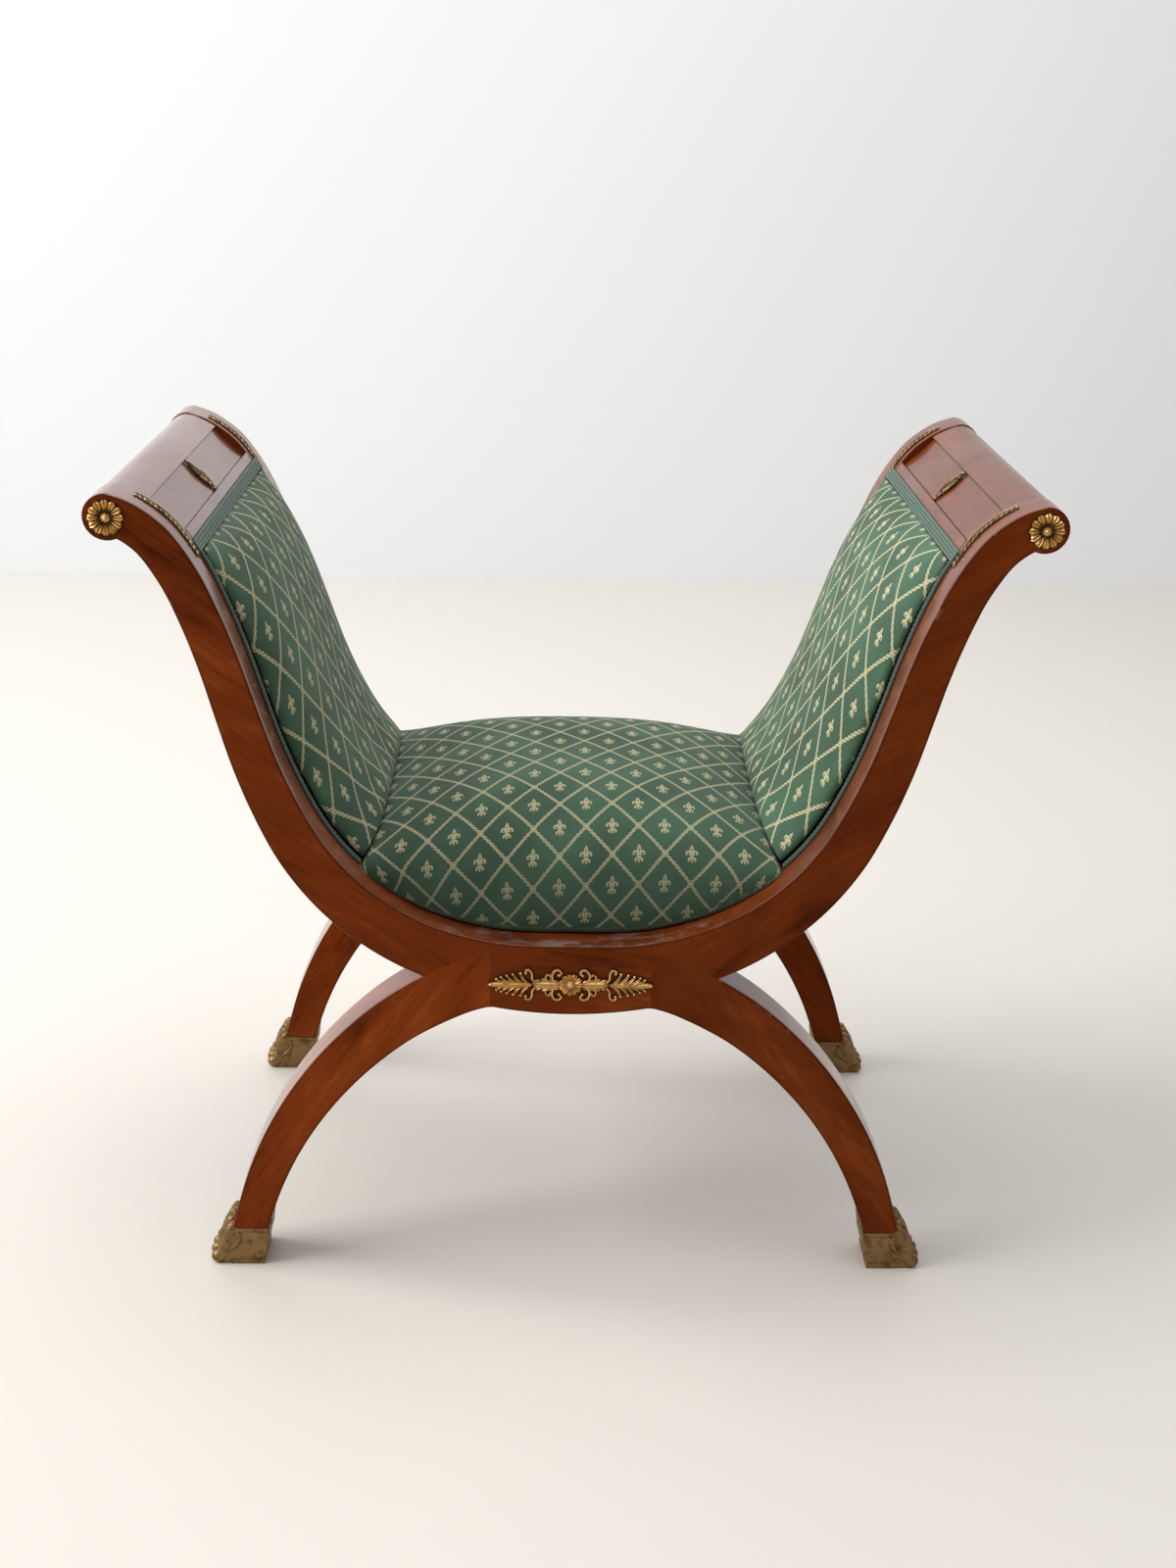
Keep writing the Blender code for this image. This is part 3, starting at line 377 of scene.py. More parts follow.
def fleur(x, y, soft):
    """A lily flower about the origin, two units high; x is a distance from its middle line."""
    bud = x / 0.25 + (y - 0.45) * (y - 0.45) / 0.31
    shape = band(bud, 1, soft * 4) * bud.ramp(0.22, 0.40, 0.30, 1)
    across, up = x - 0.42, y - 0.03
    shape = shape.most(band(circle(across, up, 0.23), 0.108, soft) * up.ramp(-0.19, -0.13))
    stem = abs(x - 0.16 - y * 0.22).most(abs(y + 0.20) * 0.30)
    shape = shape.most(band(stem, 0.085, soft))
    tie = (x / 0.26).most(abs(y + 0.42) / 0.07)
    shape = shape.most(band(tie, 1, soft * 4))
    across, up = x - 0.27, y + 0.64
    open_side = (up * 0.7 + across).ramp(-0.11, -0.05)
    shape = shape.most(band(circle(across, up, 0.15), 0.095, soft) * open_side)
    foot = x / 0.11 + (y + 0.72) * (y + 0.72) / 0.07
    return shape.most(band(foot, 1, soft * 4))


def chain_stitches(across, along):
    """A line of chain stitches wherever across is whole: two strands that cross and part."""
    offset = (across + 0.5).fraction() - 0.5
    twist = (along * (math.pi * 2 * STITCHES)).sin() * STITCH_SWING
    strand = abs(offset - twist).least(abs(offset + twist))
    return band(strand, STRAND_WIDTH, STRAND_EDGE)


def lattice_fabric(name, lattice, shade=1.0, painted_shade=0.0):
    """Green damask with a cream chain-stitched lattice and a lily in each diamond.

    Shade above 1 paints the window's light on the fabric, and the seat's low front gets painted shade,
    darker towards its bottom.
    """
    deep, base, cream_tone = (times(c, shade) for c in (FABRIC_DEEP, FABRIC_GREEN, FABRIC_CREAM))
    look = Look(name, roughness=0.80, sheen=0.10)
    look.set(Sheen_Roughness=0.45)
    width, height, lily_u, lily_v = lattice
    u, v, _ = look.split(look.place(source="UV", shift=(width / 2 - lily_u, -lily_v, 0)))
    wobble = look.noise(look.place(source="UV"), 60, 1)
    u = u + (wobble - 0.5) * FABRIC_WOBBLE
    p = u / width + v / height
    q = u / width - v / height
    fp, fq = p.fraction() - 0.5, q.fraction() - 0.5
    x = abs(fp + fq) * (width / 2 / LILY_SIZE / LILY_NARROWING)
    y = (fp - fq) * (height / 2 / LILY_SIZE)
    cream = chain_stitches(p, q).most(chain_stitches(q, p)).most(fleur(x, y, 0.03))
    thread_turn = 2 * math.pi / THREAD_PITCH
    weave = (u * thread_turn).sin() * (v * thread_turn).sin()
    threads = look.noise(look.place(source="UV", stretch=(1, 0.15, 1)), 1500, 2)
    patches = look.noise(look.place(), 12, 3)
    green = look.mix(patches.ramp(0.35, 0.65), deep, base)
    green = look.mix(threads.ramp(0.4, 0.8, 0, 0.35), green, times(base, 1.5))
    worn_cream = look.mix(threads.ramp(0.5, 0.75, 0, 0.45), cream_tone, times(cream_tone, 0.6))
    colour = look.mix(cream, green, worn_cream)
    # Painted shade: the seat's low front is darkened towards its lower edge
    if painted_shade:
        painted_shade_share = look.split(look.place())[2].ramp(*PAINTED_SHADE_HEIGHTS, painted_shade, 0)
        colour = look.mix(painted_shade_share, colour, times(deep, 0.4))
    look.set(Base_Color=colour)
    look.bump(weave * 0.12 + cream * 0.9 + threads * 0.3, 0.5, 0.0005)
    return look.material


def plain_cloth(name, colour, pitch):
    """A plain weave over the object's own coordinates."""
    look = Look(name, roughness=0.88, sheen=0.2)
    x, y, z = look.split(look.place())
    turn = 2 * math.pi / pitch
    weave = (x * turn).sin() * (y * turn).sin() + (z * turn).sin() * 0.3
    tone = weave.ramp(-1, 1, 0.0, 0.5) + look.noise(look.place(), 60, 3) * 0.5
    look.set(Base_Color=look.mix(tone, times(colour, 0.5), colour))
    look.bump(weave, 0.5, pitch / 5)
    return look.material


def braid_cloth():
    look = Look("green_braid", roughness=0.7, sheen=0.4)
    mottle = look.noise(look.place(), 300, 2)
    ridge, run = look.attribute("ridge"), look.attribute("run")
    twill = (run * (math.pi * 2 / BRAID_TWIST) + ridge * 3).sin()
    # Painted shade and highlight: the valleys between the cords and the strip's foot are painted almost
    # black, and the cords' tops lighter
    tone = (twill.ramp(-1, 1, 0, 0.5) + mottle * 0.3) * ridge.ramp(0.4, 1.0, 0.15, 1.0)
    tone = tone + ridge.ramp(0.5, 1, 0, 0.25)
    look.set(Base_Color=look.mix(tone, times(BRAID_GREEN, 0.12), times(BRAID_GREEN, 1.4)))
    look.bump(twill, 0.6, 0.0004)
    return look.material


def cast_metal(name, hollows):
    """Cast and chased metal; hollows(look) is 1 where dirt has gathered."""
    bright, dark, roughness, stained = METALS[name]
    look = Look(name, metallic=1.0)
    whole = look.place()
    mottle = look.noise(whole, 130, 4, 0.6)
    grain = look.noise(whole, 900, 2)
    patina = (hollows(look) + mottle.ramp(0.45, 0.68, 0, stained)).least(1)
    look.set(
        Base_Color=look.mix(patina, bright, dark),
        Roughness=mottle.ramp(0.3, 0.7, roughness - 0.06, roughness + 0.18),
    )
    look.bump(mottle * 0.6 + grain * 0.4, 0.2, 0.0003)
    return look.material


def low_places(look):
    return look.attribute("rise").ramp(0.18, 0.55, 1, 0)


def creases(look):
    return look.geometry("Pointiness").ramp(0.43, 0.505, 1.0, 0)


def bare_wood(name, colour):
    look = Look(name, roughness=0.7)
    grain = look.noise(look.place(stretch=(1, 0.1, 1)), 120, 4, 0.6)
    fine = look.noise(look.place(stretch=(1, 0.05, 1)), 700, 2)
    look.set(Base_Color=look.mix(grain * 0.7 + fine * 0.3, times(colour, 0.55), colour))
    look.bump(fine, 0.2, 0.0004)
    return look.material


def section(node, y):
    """The outline, in X and Z, of a CAD node where a plane across Y cuts it."""
    cut = bmesh.new()
    cut.from_mesh(frame["nodes"][node].data)
    bmesh.ops.remove_doubles(cut, verts=cut.verts, dist=WELD)
    everything = [*cut.verts, *cut.edges, *cut.faces]
    found = bmesh.ops.bisect_plane(cut, geom=everything, plane_co=(0, y, 0), plane_no=(0, 1, 0))
    edges = {g for g in found["geom_cut"] if isinstance(g, bmesh.types.BMEdge)}
    loops = []
    while edges:
        edge = edges.pop()
        start, here = edge.verts
        loop = [start, here]
        while here != start:
            step = next((e for e in here.link_edges if e in edges), None)
            if step is None:
                break
            edges.discard(step)
            here = step.other_vert(here)
            loop.append(here)
        loops.append([np.array((v.co.x, v.co.z)) for v in loop[:-1]])
    cut.free()
    loop = max(loops, key=len)
    area = sum(a[0] * b[1] - b[0] * a[1] for a, b in zip(loop, loop[1:] + loop[:1]))
    return loop if area > 0 else loop[::-1]


def turns_of(loop):
    """How sharply a closed outline turns at each of its points."""
    turns = []
    for a, b, c in zip(loop[-1:] + loop[:-1], loop, loop[1:] + loop[:1]):
        first, second = b - a, c - b
        turn = math.atan2(first[0] * second[1] - first[1] * second[0], float(first @ second))
        turns.append(abs(turn))
    return turns


def runs_of(loop, corner=CORNER_ANGLE):
    """The loop's smooth runs, each from one corner to the next, without points on straight facets."""
    kept = [p for p, last in zip(loop, loop[-1:] + loop[:-1]) if np.linalg.norm(p - last) > 20 * WELD]
    while min(turns_of(kept)) <= STRAIGHT_TURN:
        kept = [p for p, turn in zip(kept, turns_of(kept)) if turn > STRAIGHT_TURN]
    n = len(kept)
    corners = [i for i, turn in enumerate(turns_of(kept)) if turn > corner]
    ends = corners[1:] + [corners[0] + n]
    return [np.array([kept[i % n] for i in range(a, b + 1)]) for a, b in zip(corners, ends)]


def between(t, start, end, a, b):
    """The point at a time on the straight way from a, at its start, to b, at its end."""
    return (end - t) / (end - start) * a + (t - start) / (end - start) * b


def smooth_run(points, step=STEP):
    """Points about a step apart on a smooth curve through the given ones."""
    if len(points) < 3:
        count = max(int(np.linalg.norm(points[1] - points[0]) / step), 1)
        return points[0] + (points[1] - points[0]) * np.linspace(0, 1, count + 1)[:, None]
    before, after = 2 * points[0] - points[1], 2 * points[-1] - points[-2]
    knots = np.vstack([before, points, after])
    times_at = np.concatenate([[0], np.cumsum(np.linalg.norm(np.diff(knots, axis=0), axis=1) ** 0.5)])
    line = []
    for i in range(1, len(knots) - 2):
        t0, t1, t2, t3 = times_at[i - 1: i + 3]
        count = max(int(np.linalg.norm(knots[i + 1] - knots[i]) / step), 1)
        for t in np.linspace(t1, t2, count, endpoint=False):
            a1 = between(t, t0, t1, knots[i - 1], knots[i])
            a2 = between(t, t1, t2, knots[i], knots[i + 1])
            a3 = between(t, t2, t3, knots[i + 1], knots[i + 2])
            b1 = between(t, t0, t2, a1, a2)
            b2 = between(t, t1, t3, a2, a3)
            line.append(between(t, t1, t2, b1, b2))
    return np.vstack([*line, knots[-2]])


def length_of(line):
    return np.linalg.norm(np.diff(line, axis=0), axis=1).sum()


def lengths_along(line):
    """How far along a line each of its points lies."""
    return np.concatenate([[0], np.cumsum(np.linalg.norm(np.diff(line, axis=0), axis=1))])


def at_shares(line, shares):
    steps = lengths_along(line)
    return np.stack([np.interp(shares * steps[-1], steps, line[:, axis]) for axis in (0, 1)], axis=1)


class Solid:
    """Closed forms in one mesh, each through rings of points and capped at both ends."""

    def __init__(self):
        self.verts = []
        self.faces = []

    def add(self, rings):
        base, sides = len(self.verts), len(rings[0])
        last = base + (len(rings) - 1) * sides
        self.verts.extend(spot for ring in rings for spot in ring)
        self.faces.append(tuple(range(base, base + sides)))
        self.faces.append(tuple(range(last, last + sides)))
        for start in range(base, last, sides):
            for c in range(sides):
                a, b = start + c, start + (c + 1) % sides
                self.faces.append((a, b, b + sides, a + sides))


def make(node, suffix, verts, faces, look):
    """The mesh that stands for a CAD node, smooth but for its sharp edges."""
    mesh = bpy.data.meshes.new(f"{node}_{suffix}")
    mesh.from_pydata([tuple(map(float, v)) for v in verts], [], faces)
    mesh.validate()
    obj = bpy.data.objects.new(mesh.name, mesh)
    bpy.context.scene.collection.objects.link(obj)
    tidy = bmesh.new()
    tidy.from_mesh(mesh)
    bmesh.ops.recalc_face_normals(tidy, faces=tidy.faces)
    tidy.to_mesh(mesh)
    tidy.free()
    mesh.materials.append(look)
    mesh.shade_smooth()
    mesh.set_sharp_from_angle(angle=SMOOTH_ANGLE)
    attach(obj, "root")
    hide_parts(node)
    return obj


def point_attribute(obj, name, values):
    made = obj.data.attributes.new(name, "FLOAT", "POINT")
    made.data.foreach_set("value", np.asarray(values, np.float32))


def map_pattern(obj, pattern):
    """Gives the fabric's coordinates of each point to all face corners that meet there."""
    layer = obj.data.uv_layers.new(name="Pattern")
    for loop in obj.data.loops:
        layer.data[loop.index].uv = pattern[loop.vertex_index]


def near_another(points, others):
    """Whether a run of an outline lies along another piece's outline."""
    middle = points[len(points) // 2]
    for line in others:
        along = np.roll(line, -1, axis=0) - line
        share = np.clip(((middle - line) * along).sum(1) / (along**2).sum(1), 0, 1)
        if np.linalg.norm(line + along * share[:, None] - middle, axis=1).min() < SAME_LINE:
            return True
    return False


def smooth_plate(node, cut_y, low_y, high_y, look, others=(), arris=ARRIS_RADIUS):
    """A plate with the smoothed outline of a CAD node and rounded arrises, its edges marked for wear
    and painted shade.
    """
    outline, radii, bands = [], [], []
    for run in runs_of(section(node, cut_y)):
        line = smooth_run(run)
        steps = lengths_along(line)
        radius = SEAM_RADIUS if near_another(line[:-1] if len(line) > 2 else run, others) else arris
        outline.extend(line[:-1])
        radii.extend([radius] * (len(line) - 1))
        bands.extend(np.minimum(np.minimum(steps, steps[-1] - steps)[:-1] * 0.8, EDGE_WEAR_AND_SHADE_BAND))
    outline, radii, bands = np.array(outline), np.array(radii), np.array(bands)
    joined = radii < arris
    joined = joined | np.roll(joined, 1)
    radii = np.where(joined, SEAM_RADIUS, radii)
    free = radii > SEAM_RADIUS
    before = outline - np.roll(outline, 1, axis=0)
    before /= np.linalg.norm(before, axis=1)[:, None]
    way = before + np.roll(before, -1, axis=0)
    inward = np.stack([-way[:, 1], way[:, 0]], axis=1)
    length = np.linalg.norm(inward, axis=1)[:, None]
    inward = inward / length * (2 / np.maximum(length, 0.7))
    # Each ring: its inset and depth in radii, inset in edge bands, further depth, edge wear and painted
    # shade
    stages = [(1, 0, 1, 0, 0)]
    for angle in np.linspace(0, math.pi / 2, 4):
        stages.append((1 - math.sin(angle), 1 - math.cos(angle), 0, 0, 1))
    if high_y - low_y > 3 * EDGE_WEAR_AND_SHADE_BAND:
        stages.append((0, 1, 0, EDGE_WEAR_AND_SHADE_BAND, 0))
    rings, edge_wear_and_shade = [], []
    for place, sign in ((low_y, 1), (high_y, -1)):
        for inset, depth, extra, deeper, worn in stages[::sign]:
            inset_by = inset * radii + extra * bands * free - SEAM_CLOSING * joined
            spots = outline + inward * inset_by[:, None]
            ys = place + sign * (depth * radii + deeper)
            rings.append([(x, y, z) for (x, z), y in zip(spots, ys)])
            edge_wear_and_shade.extend(worn * free)
    plate = Solid()
    plate.add(rings)
    obj = make(node, "polished", plate.verts, plate.faces, look)
    point_attribute(obj, "edge", edge_wear_and_shade)


def wooden_frames():
    """The two X-shaped frames, smooth and with fine seams where their pieces meet."""
    looks = {piece: mahogany(f"mahogany_{piece}", *wood) for piece, wood in FRAME_WOODS.items()}
    for place, sign_y in PLACES.items():
        names = {piece: f"{place}_{piece}" for piece in looks}
        low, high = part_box(names["centre_block"])
        outer = low.y if sign_y < 0 else high.y
        cut_y = outer - sign_y * (high.y - low.y) / 4
        outlines = {piece: np.array(section(node, cut_y)) for piece, node in names.items()}
        for piece, node in names.items():
            others = [line for other, line in outlines.items() if other != piece]
            smooth_plate(node, cut_y, low.y, high.y, looks[piece], others)


def crests():
    """Roll, panel and rail at the top of each arm."""
    for side, gloss in CREST_GLOSS.items():
        look = mahogany(f"mahogany_crest_{side}", 0.0, CREST_SHADE, gloss, stretch=(1, 0.13, 1))
        nodes = [f"crest_{piece}_{side}" for piece in ("roll", "panel", "rail")]
        for node in nodes:
            low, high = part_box(node)
            others = [np.array(section(other, 0.0)) for other in nodes if other != node]
            smooth_plate(node, 0.0, low.y, high.y, look, others, CREST_ARRIS)


def long_runs(node, y, corner=CORNER_ANGLE):
    """The two longest sides of a node's section, lower first, smooth and both from its first end."""
    runs = sorted(runs_of(section(node, y), corner), key=length_of, reverse=True)
    lines = sorted((smooth_run(run) for run in runs[:2]), key=lambda line: line.mean(0)[1])
    for i, line in enumerate(lines):
        backwards = line[0][0] > line[-1][0] if "seat" in node else line[0][1] < line[-1][1]
        lines[i] = line[::-1] if backwards else line
    return lines


def swell(obj, pinned):
    """Blows the pad up a little as stretched cloth, then keeps the result."""
    start = np.array([v.co for v in obj.data.vertices])
    pins = obj.vertex_groups.new(name="pins")
    pins.add([int(i) for i in pinned], 1.0, "ADD")
    cloth = obj.modifiers.new("Cloth", "CLOTH")
    for name, value in CLOTH.items():
        setattr(cloth.settings, name, value)
    cloth.settings.effector_weights.gravity = 0
    cloth.collision_settings.use_collision = False
    cloth.point_cache.frame_start = 1
    cloth.point_cache.frame_end = CLOTH_FRAMES
    for number in range(1, CLOTH_FRAMES + 1):
        bpy.context.scene.frame_set(number)
    graph = bpy.context.evaluated_depsgraph_get()
    moved = np.array([v.co for v in obj.evaluated_get(graph).to_mesh().vertices])
    obj.modifiers.remove(cloth)
    bpy.context.scene.frame_set(1)
    shift = moved - start
    length = np.linalg.norm(shift, axis=1)[:, None]
    shift *= PAD_SWELL_CAP * np.tanh(length / PAD_SWELL_CAP) / np.maximum(length, 1e-9)
    for vertex, spot in zip(obj.data.vertices, start + shift):
        vertex.co = spot
    obj.vertex_groups.remove(pins)


def eased(count, rim):
    """Shares from 0 to 1, with one more close to each end."""
    return np.concatenate([[0, rim], np.linspace(0, 1, count)[1:-1], [1 - rim, 1]])


def grid_lengths(points, axis):
    """Distances along one axis of a grid of points, from its first line."""
    steps = np.linalg.norm(np.diff(points, axis=axis), axis=2)
    first = np.zeros_like(steps.take([0], axis))
    return np.concatenate([first, np.cumsum(steps, axis=axis)], axis=axis)


def pad_faces(rows, columns, wide):
    """Faces of a pad: first come the points of its crown, row by row, then those below them."""
    faces = []
    for r in range(rows - 1):
        upper, lower = r * columns, rows * columns + r * wide
        for start, width in ((upper, columns), (lower, wide)):
            for a in range(start, start + width - 1):
                faces.append((a, a + 1, a + width + 1, a + width))
        for a, b in ((upper, lower), (upper + columns - 1, lower + wide - 1)):
            faces.append((a, a + columns, b + wide, b))
    for r in (0, rows - 1):
        upper = range(r * columns, (r + 1) * columns)
        lower = range(rows * columns + r * wide, rows * columns + (r + 1) * wide)
        faces.append((*upper, *reversed(lower)))
    return faces


def pad(node, look, ends, edge, powers, fill_share, lean):
    """A crowned pad with puckered sides, whose fabric is mapped by length in both directions.

    Each of its two ends is drawn down by a depth over a span. The seat's pad laps onto the frames.
    """
    outer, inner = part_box(node)[1].y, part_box("arm_pad_left")[1].y
    laps = outer > inner + 0.001
    bottom, top = long_runs(node, 0.0, CORNER_ANGLE if laps else PAD_CORNER_ANGLE)
    lips = long_runs(node, outer - LIP_INSET)[0] if laps else bottom
    length = length_of(top)
    shares = eased(int(length / PAD_STEP) | 1, PAD_RIM / length)
    bottom, top, lips = (at_shares(line, shares) for line in (bottom, top, lips))
    across = eased(int(2 * outer / PAD_STEP * 1.15) | 1, PAD_RIM / 2 / outer) * 2 - 1
    closer = np.sin(across * math.pi / 2) * 0.5 + across * 0.5
    spread = np.where(abs(across) > 1 - PAD_RIM / outer * 1.01, across, closer)
    rows, columns = len(shares), len(spread)
    distances = shares * length
    spots = []
    for r in range(rows):
        end = 1.0
        for at_end, depth, span in ends:
            away = abs(shares[r] - at_end) * length / span
            end *= 1 - depth * max(1 - away, 0) ** 2.2
        rise = top[r] - bottom[r]
        level = 0 if laps else max(1 - distances[r] / PAD_LEVEL_SPAN, 0) ** 2
        tuck = (top[0] - top[2]) / np.linalg.norm(top[0] - top[2]) * PAD_TUCK * (r == 0) * (not laps)
        sway = PUCKER_SWAY * math.sin(distances[r] * PUCKER_SWAY_RATE)
        wave = math.sin(math.pi * 2 * distances[r] / PUCKER_STEP + sway)
        for v in spread:
            crown = edge + (1 - edge) * (1 - abs(v) ** powers[0]) ** (1 / powers[1])
            crown += (1 - crown) * level
            pull = math.exp(-(((1 - abs(v)) / PUCKER_REACH) ** 2))
            height = crown * end - PUCKER_DEPTH * pull * wave / np.linalg.norm(rise)
            spot = bottom[r] + tuck + rise * height
            spots.append((spot[0], v * outer, spot[1]))
    grid = np.array(spots).reshape(rows, columns, 3)
    side = grid_lengths(grid, 1)
    side -= side[:, -1:] / 2
    along = grid_lengths(grid, 0)
    along -= along[rows // 2]
    if laps:
        pattern = list(zip(along.ravel(), (side + lean[0] * along).ravel()))
    else:
        slant = lean[0] * (distances - lean[1])
        pattern = list(zip((side + slant[:, None]).ravel(), np.repeat(-distances, columns)))
    verts = list(grid.reshape(-1, 3))
    count = len(verts)
    under = [(-inner, bottom), (inner, bottom)]
    if laps:
        under = [(-outer, lips), (-inner, lips), *under, (inner, lips), (outer, lips)]
    foot = np.stack([bottom[:, 0], np.full(rows, -inner), bottom[:, 1]], axis=1)
    depth = np.linalg.norm(grid[:, 0] - foot, axis=1)
    for r in range(rows):
        beyond = -depth[r] if r == 0 else depth[r] * (r == rows - 1)
        for y, line in under:
            verts.append(np.array([line[r][0], y, line[r][1]]))
            if laps:
                pattern.append((distances[r], y))
            else:
                far = math.copysign(side[r, -1] + depth[r], y)
                pattern.append((far + slant[r], -distances[r] - beyond))
    faces = pad_faces(rows, columns, len(under))
    obj = make(node, "upholstered", verts, faces, look)
    map_pattern(obj, pattern)
    ends_of = [{0, 1, n - 2, n - 1} for n in (rows, columns)]
    at_rims = [r in ends_of[0] or c in ends_of[1] for r in range(rows) for c in range(columns)]
    swell(obj, [*np.flatnonzero(at_rims), *range(count, len(verts))])
    rounded = obj.modifiers.new("smooth", "SUBSURF")
    rounded.levels = rounded.render_levels = 1


def upholstery():
    seat = lattice_fabric("seat_fabric", SEAT_LATTICE, painted_shade=SEAT_PAINTED_SHADE)
    pad("seat_pad", seat, *SEAT_PAD, SEAT_PATTERN_LEAN)
    for side in SIDES:
        look = lattice_fabric(f"arm_fabric_{side}", ARM_LATTICES[side], ARM_PAINTED_LIGHT[side])
        pad(f"arm_pad_{side}", look, *ARM_PAD, ARM_PATTERN_LEANS[side])


def outer_covers():
    """Fabric stretched over the outside of each arm, between the frames, tucked in under the roll."""
    look = lattice_fabric("outer_fabric", COVER_LATTICE)
    for side in SIDES:
        node = f"outer_cover_{side}"
        low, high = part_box(node)
        across = np.linspace(low.y, high.y, COVER_COLUMNS)
        layers = []
        for line, ys in zip(long_runs(node, 0.0), (across, across[::-1])):
            way = (line[0] - line[3]) / np.linalg.norm(line[0] - line[3])
            line = np.vstack([line[0] + way * COVER_TUCK, line])
            line = at_shares(line, np.linspace(0, 1, COVER_ROWS))
            layers.append((line, lengths_along(line), ys))
        rings, pattern = [], []
        for k in range(COVER_ROWS):
            rings.append([(line[k][0], y, line[k][1]) for line, _, ys in layers for y in ys])
            pattern.extend((y, -steps[k]) for _, steps, ys in layers for y in ys)
        cover = Solid()
        cover.add(rings)
        obj = make(node, "stretched", cover.verts, cover.faces, look)
        map_pattern(obj, pattern)


def cord_heights(points, count, valley):
    """How high side-by-side cords stand at each point across them, as shares."""
    waves = np.abs(np.sin(math.pi * count * np.linspace(0, 1, points)))
    heights = valley + (1 - valley) * waves ** 0.6
    heights[0] = heights[-1] = valley
    return heights


class Braid(Solid):
    """Strips of cords, with the height and the distance along its strip of each point."""

    def __init__(self):
        super().__init__()
        self.ridges = []
        self.distances = []

    def strip(self, rows, heights):
        """A strip through rows of points; each row ends with its two lower corners."""
        self.add(rows)
        for k, row in enumerate(rows):
            self.ridges.extend([*heights[k], 0, 0])
            self.distances.extend([k * BRAID_STEP] * len(row))


def braids():
    """Cords side by side round three sides of each arm pad."""
    look = braid_cloth()
    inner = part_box("arm_pad_left")[1].y + BRAID_GAP
    for side in SIDES:
        node = f"arm_braid_{side}"
        low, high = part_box(node)
        shares = np.linspace(0, 1, CREST_CORDS[0])
        under, upper = (at_shares(run, shares) for run in long_runs(node, 0.0))
        ridge = cord_heights(*CREST_CORDS)
        spots = [*(under + (upper - under) * ridge[:, None]), under[-1], under[0]]
        ys = np.linspace(low.y, high.y, int((high.y - low.y) / BRAID_STEP))
        braid = Braid()
        braid.strip([[(p[0], y, p[1]) for p in spots] for y in ys], [ridge] * len(ys))
        ridge = cord_heights(*SIDE_CORDS)
        columns = len(ridge)
        for sign_y in PLACES.values():
            below, above = long_runs(node, sign_y * (inner + high.y) / 2)
            shares = np.linspace(0, 1, int(length_of(below) / BRAID_STEP))
            ys = [*np.linspace(inner, high.y, columns), high.y, inner]
            rows, heights = [], []
            for k, (foot, top) in enumerate(zip(at_shares(below, shares), at_shares(above, shares))):
                if foot[1] < under[-1][1] + 0.0003:
                    turn = math.pi * (k * BRAID_STEP / BRAID_KNOT + np.linspace(0, 0.8, columns))
                    raised = ridge * (0.62 + 0.38 * np.abs(np.sin(turn)) ** 0.7)
                    row = [*(foot + (top - foot) * share for share in raised), foot, foot]
                    rows.append([(p[0], sign_y * y, p[1]) for p, y in zip(row, ys)])
                    # Stored below the cords' true heights, which deepens the painted shade on the side
                    # cords
                    heights.append(raised * 0.82)
            braid.strip(rows, heights)
        obj = make(node, "corded", braid.verts, braid.faces, look)
        point_attribute(obj, "ridge", braid.ridges)
        point_attribute(obj, "run", braid.distances)


class Casting(Solid):
    """A relief made of many small closed forms over a seat given by place(along, across, up)."""

    def __init__(self, place):
        super().__init__()
        self.place = place
        self.rises = []

    def add(self, rings):
        self.rises.extend(spot[2] for ring in rings for spot in ring)
        super().add([[self.place(*spot) for spot in ring] for ring in rings])

    def blade(self, points, width, height, groove=0.25, taper=0.6, belly=1.0):
        """A leaf or tendril along a smooth line, domed across, with a groove down its middle.

        Its widest place moves to the tip as belly grows; a taper of 0 gives an even width.
        """
        points = np.array(points, float)
        line = smooth_run(points, max(min(width / 2, length_of(points) / 9), 0.0004))
        steps = lengths_along(line)
        ways = np.gradient(line, axis=0)
        ways /= np.linalg.norm(ways, axis=1)[:, None]
        across = ((-1, 0), (-0.85, 0.55), (-0.45, 1), (0, 1 - groove), (0.45, 1), (0.85, 0.55), (1, 0))
        rings = []
        for spot, way, at in zip(line, ways, steps / steps[-1]):
            full = math.sin(math.pi * min(at * 0.86 + 0.14, 1) ** belly) ** taper if taper else 1.0
            half, rise = width * max(full, 0.22), height * max(full, 0.35)
            ring = []
            for v, up in across:
                ring.append((spot[0] - way[1] * v * half, spot[1] + way[0] * v * half, rise * up))
            rings.append(ring)
        self.add(rings)

    def boss(self, along, across, radius, height, petals=0, depth=0.0, sides=24):
        """A domed knob, lobed where it has petals."""
        rings = []
        for share in (0.0, 0.35, 0.65, 0.88, 1.0):
            tilt = share * math.pi / 2
            rise = height * math.sin(tilt)
            ring = []
            for i in range(sides):
                angle = 2 * math.pi * i / sides
                lobed = 1 - depth * (0.5 - 0.5 * math.cos(petals * angle)) * (share < 0.9)
                out = radius * max(math.cos(tilt), 0.06) * lobed
                ring.append((along + out * math.cos(angle), across + out * math.sin(angle), rise))
            rings.append(ring)
        self.add(rings)

    def finish(self, node, look):
        obj = make(node, "chased", self.verts, self.faces, look)
        point_attribute(obj, "rise", np.array(self.rises) / max(self.rises))


def direction(k, count):
    """The way to one of a count of evenly spread petals."""
    angle = math.pi * 2 * k / count
    return np.array([math.cos(angle), math.sin(angle)])


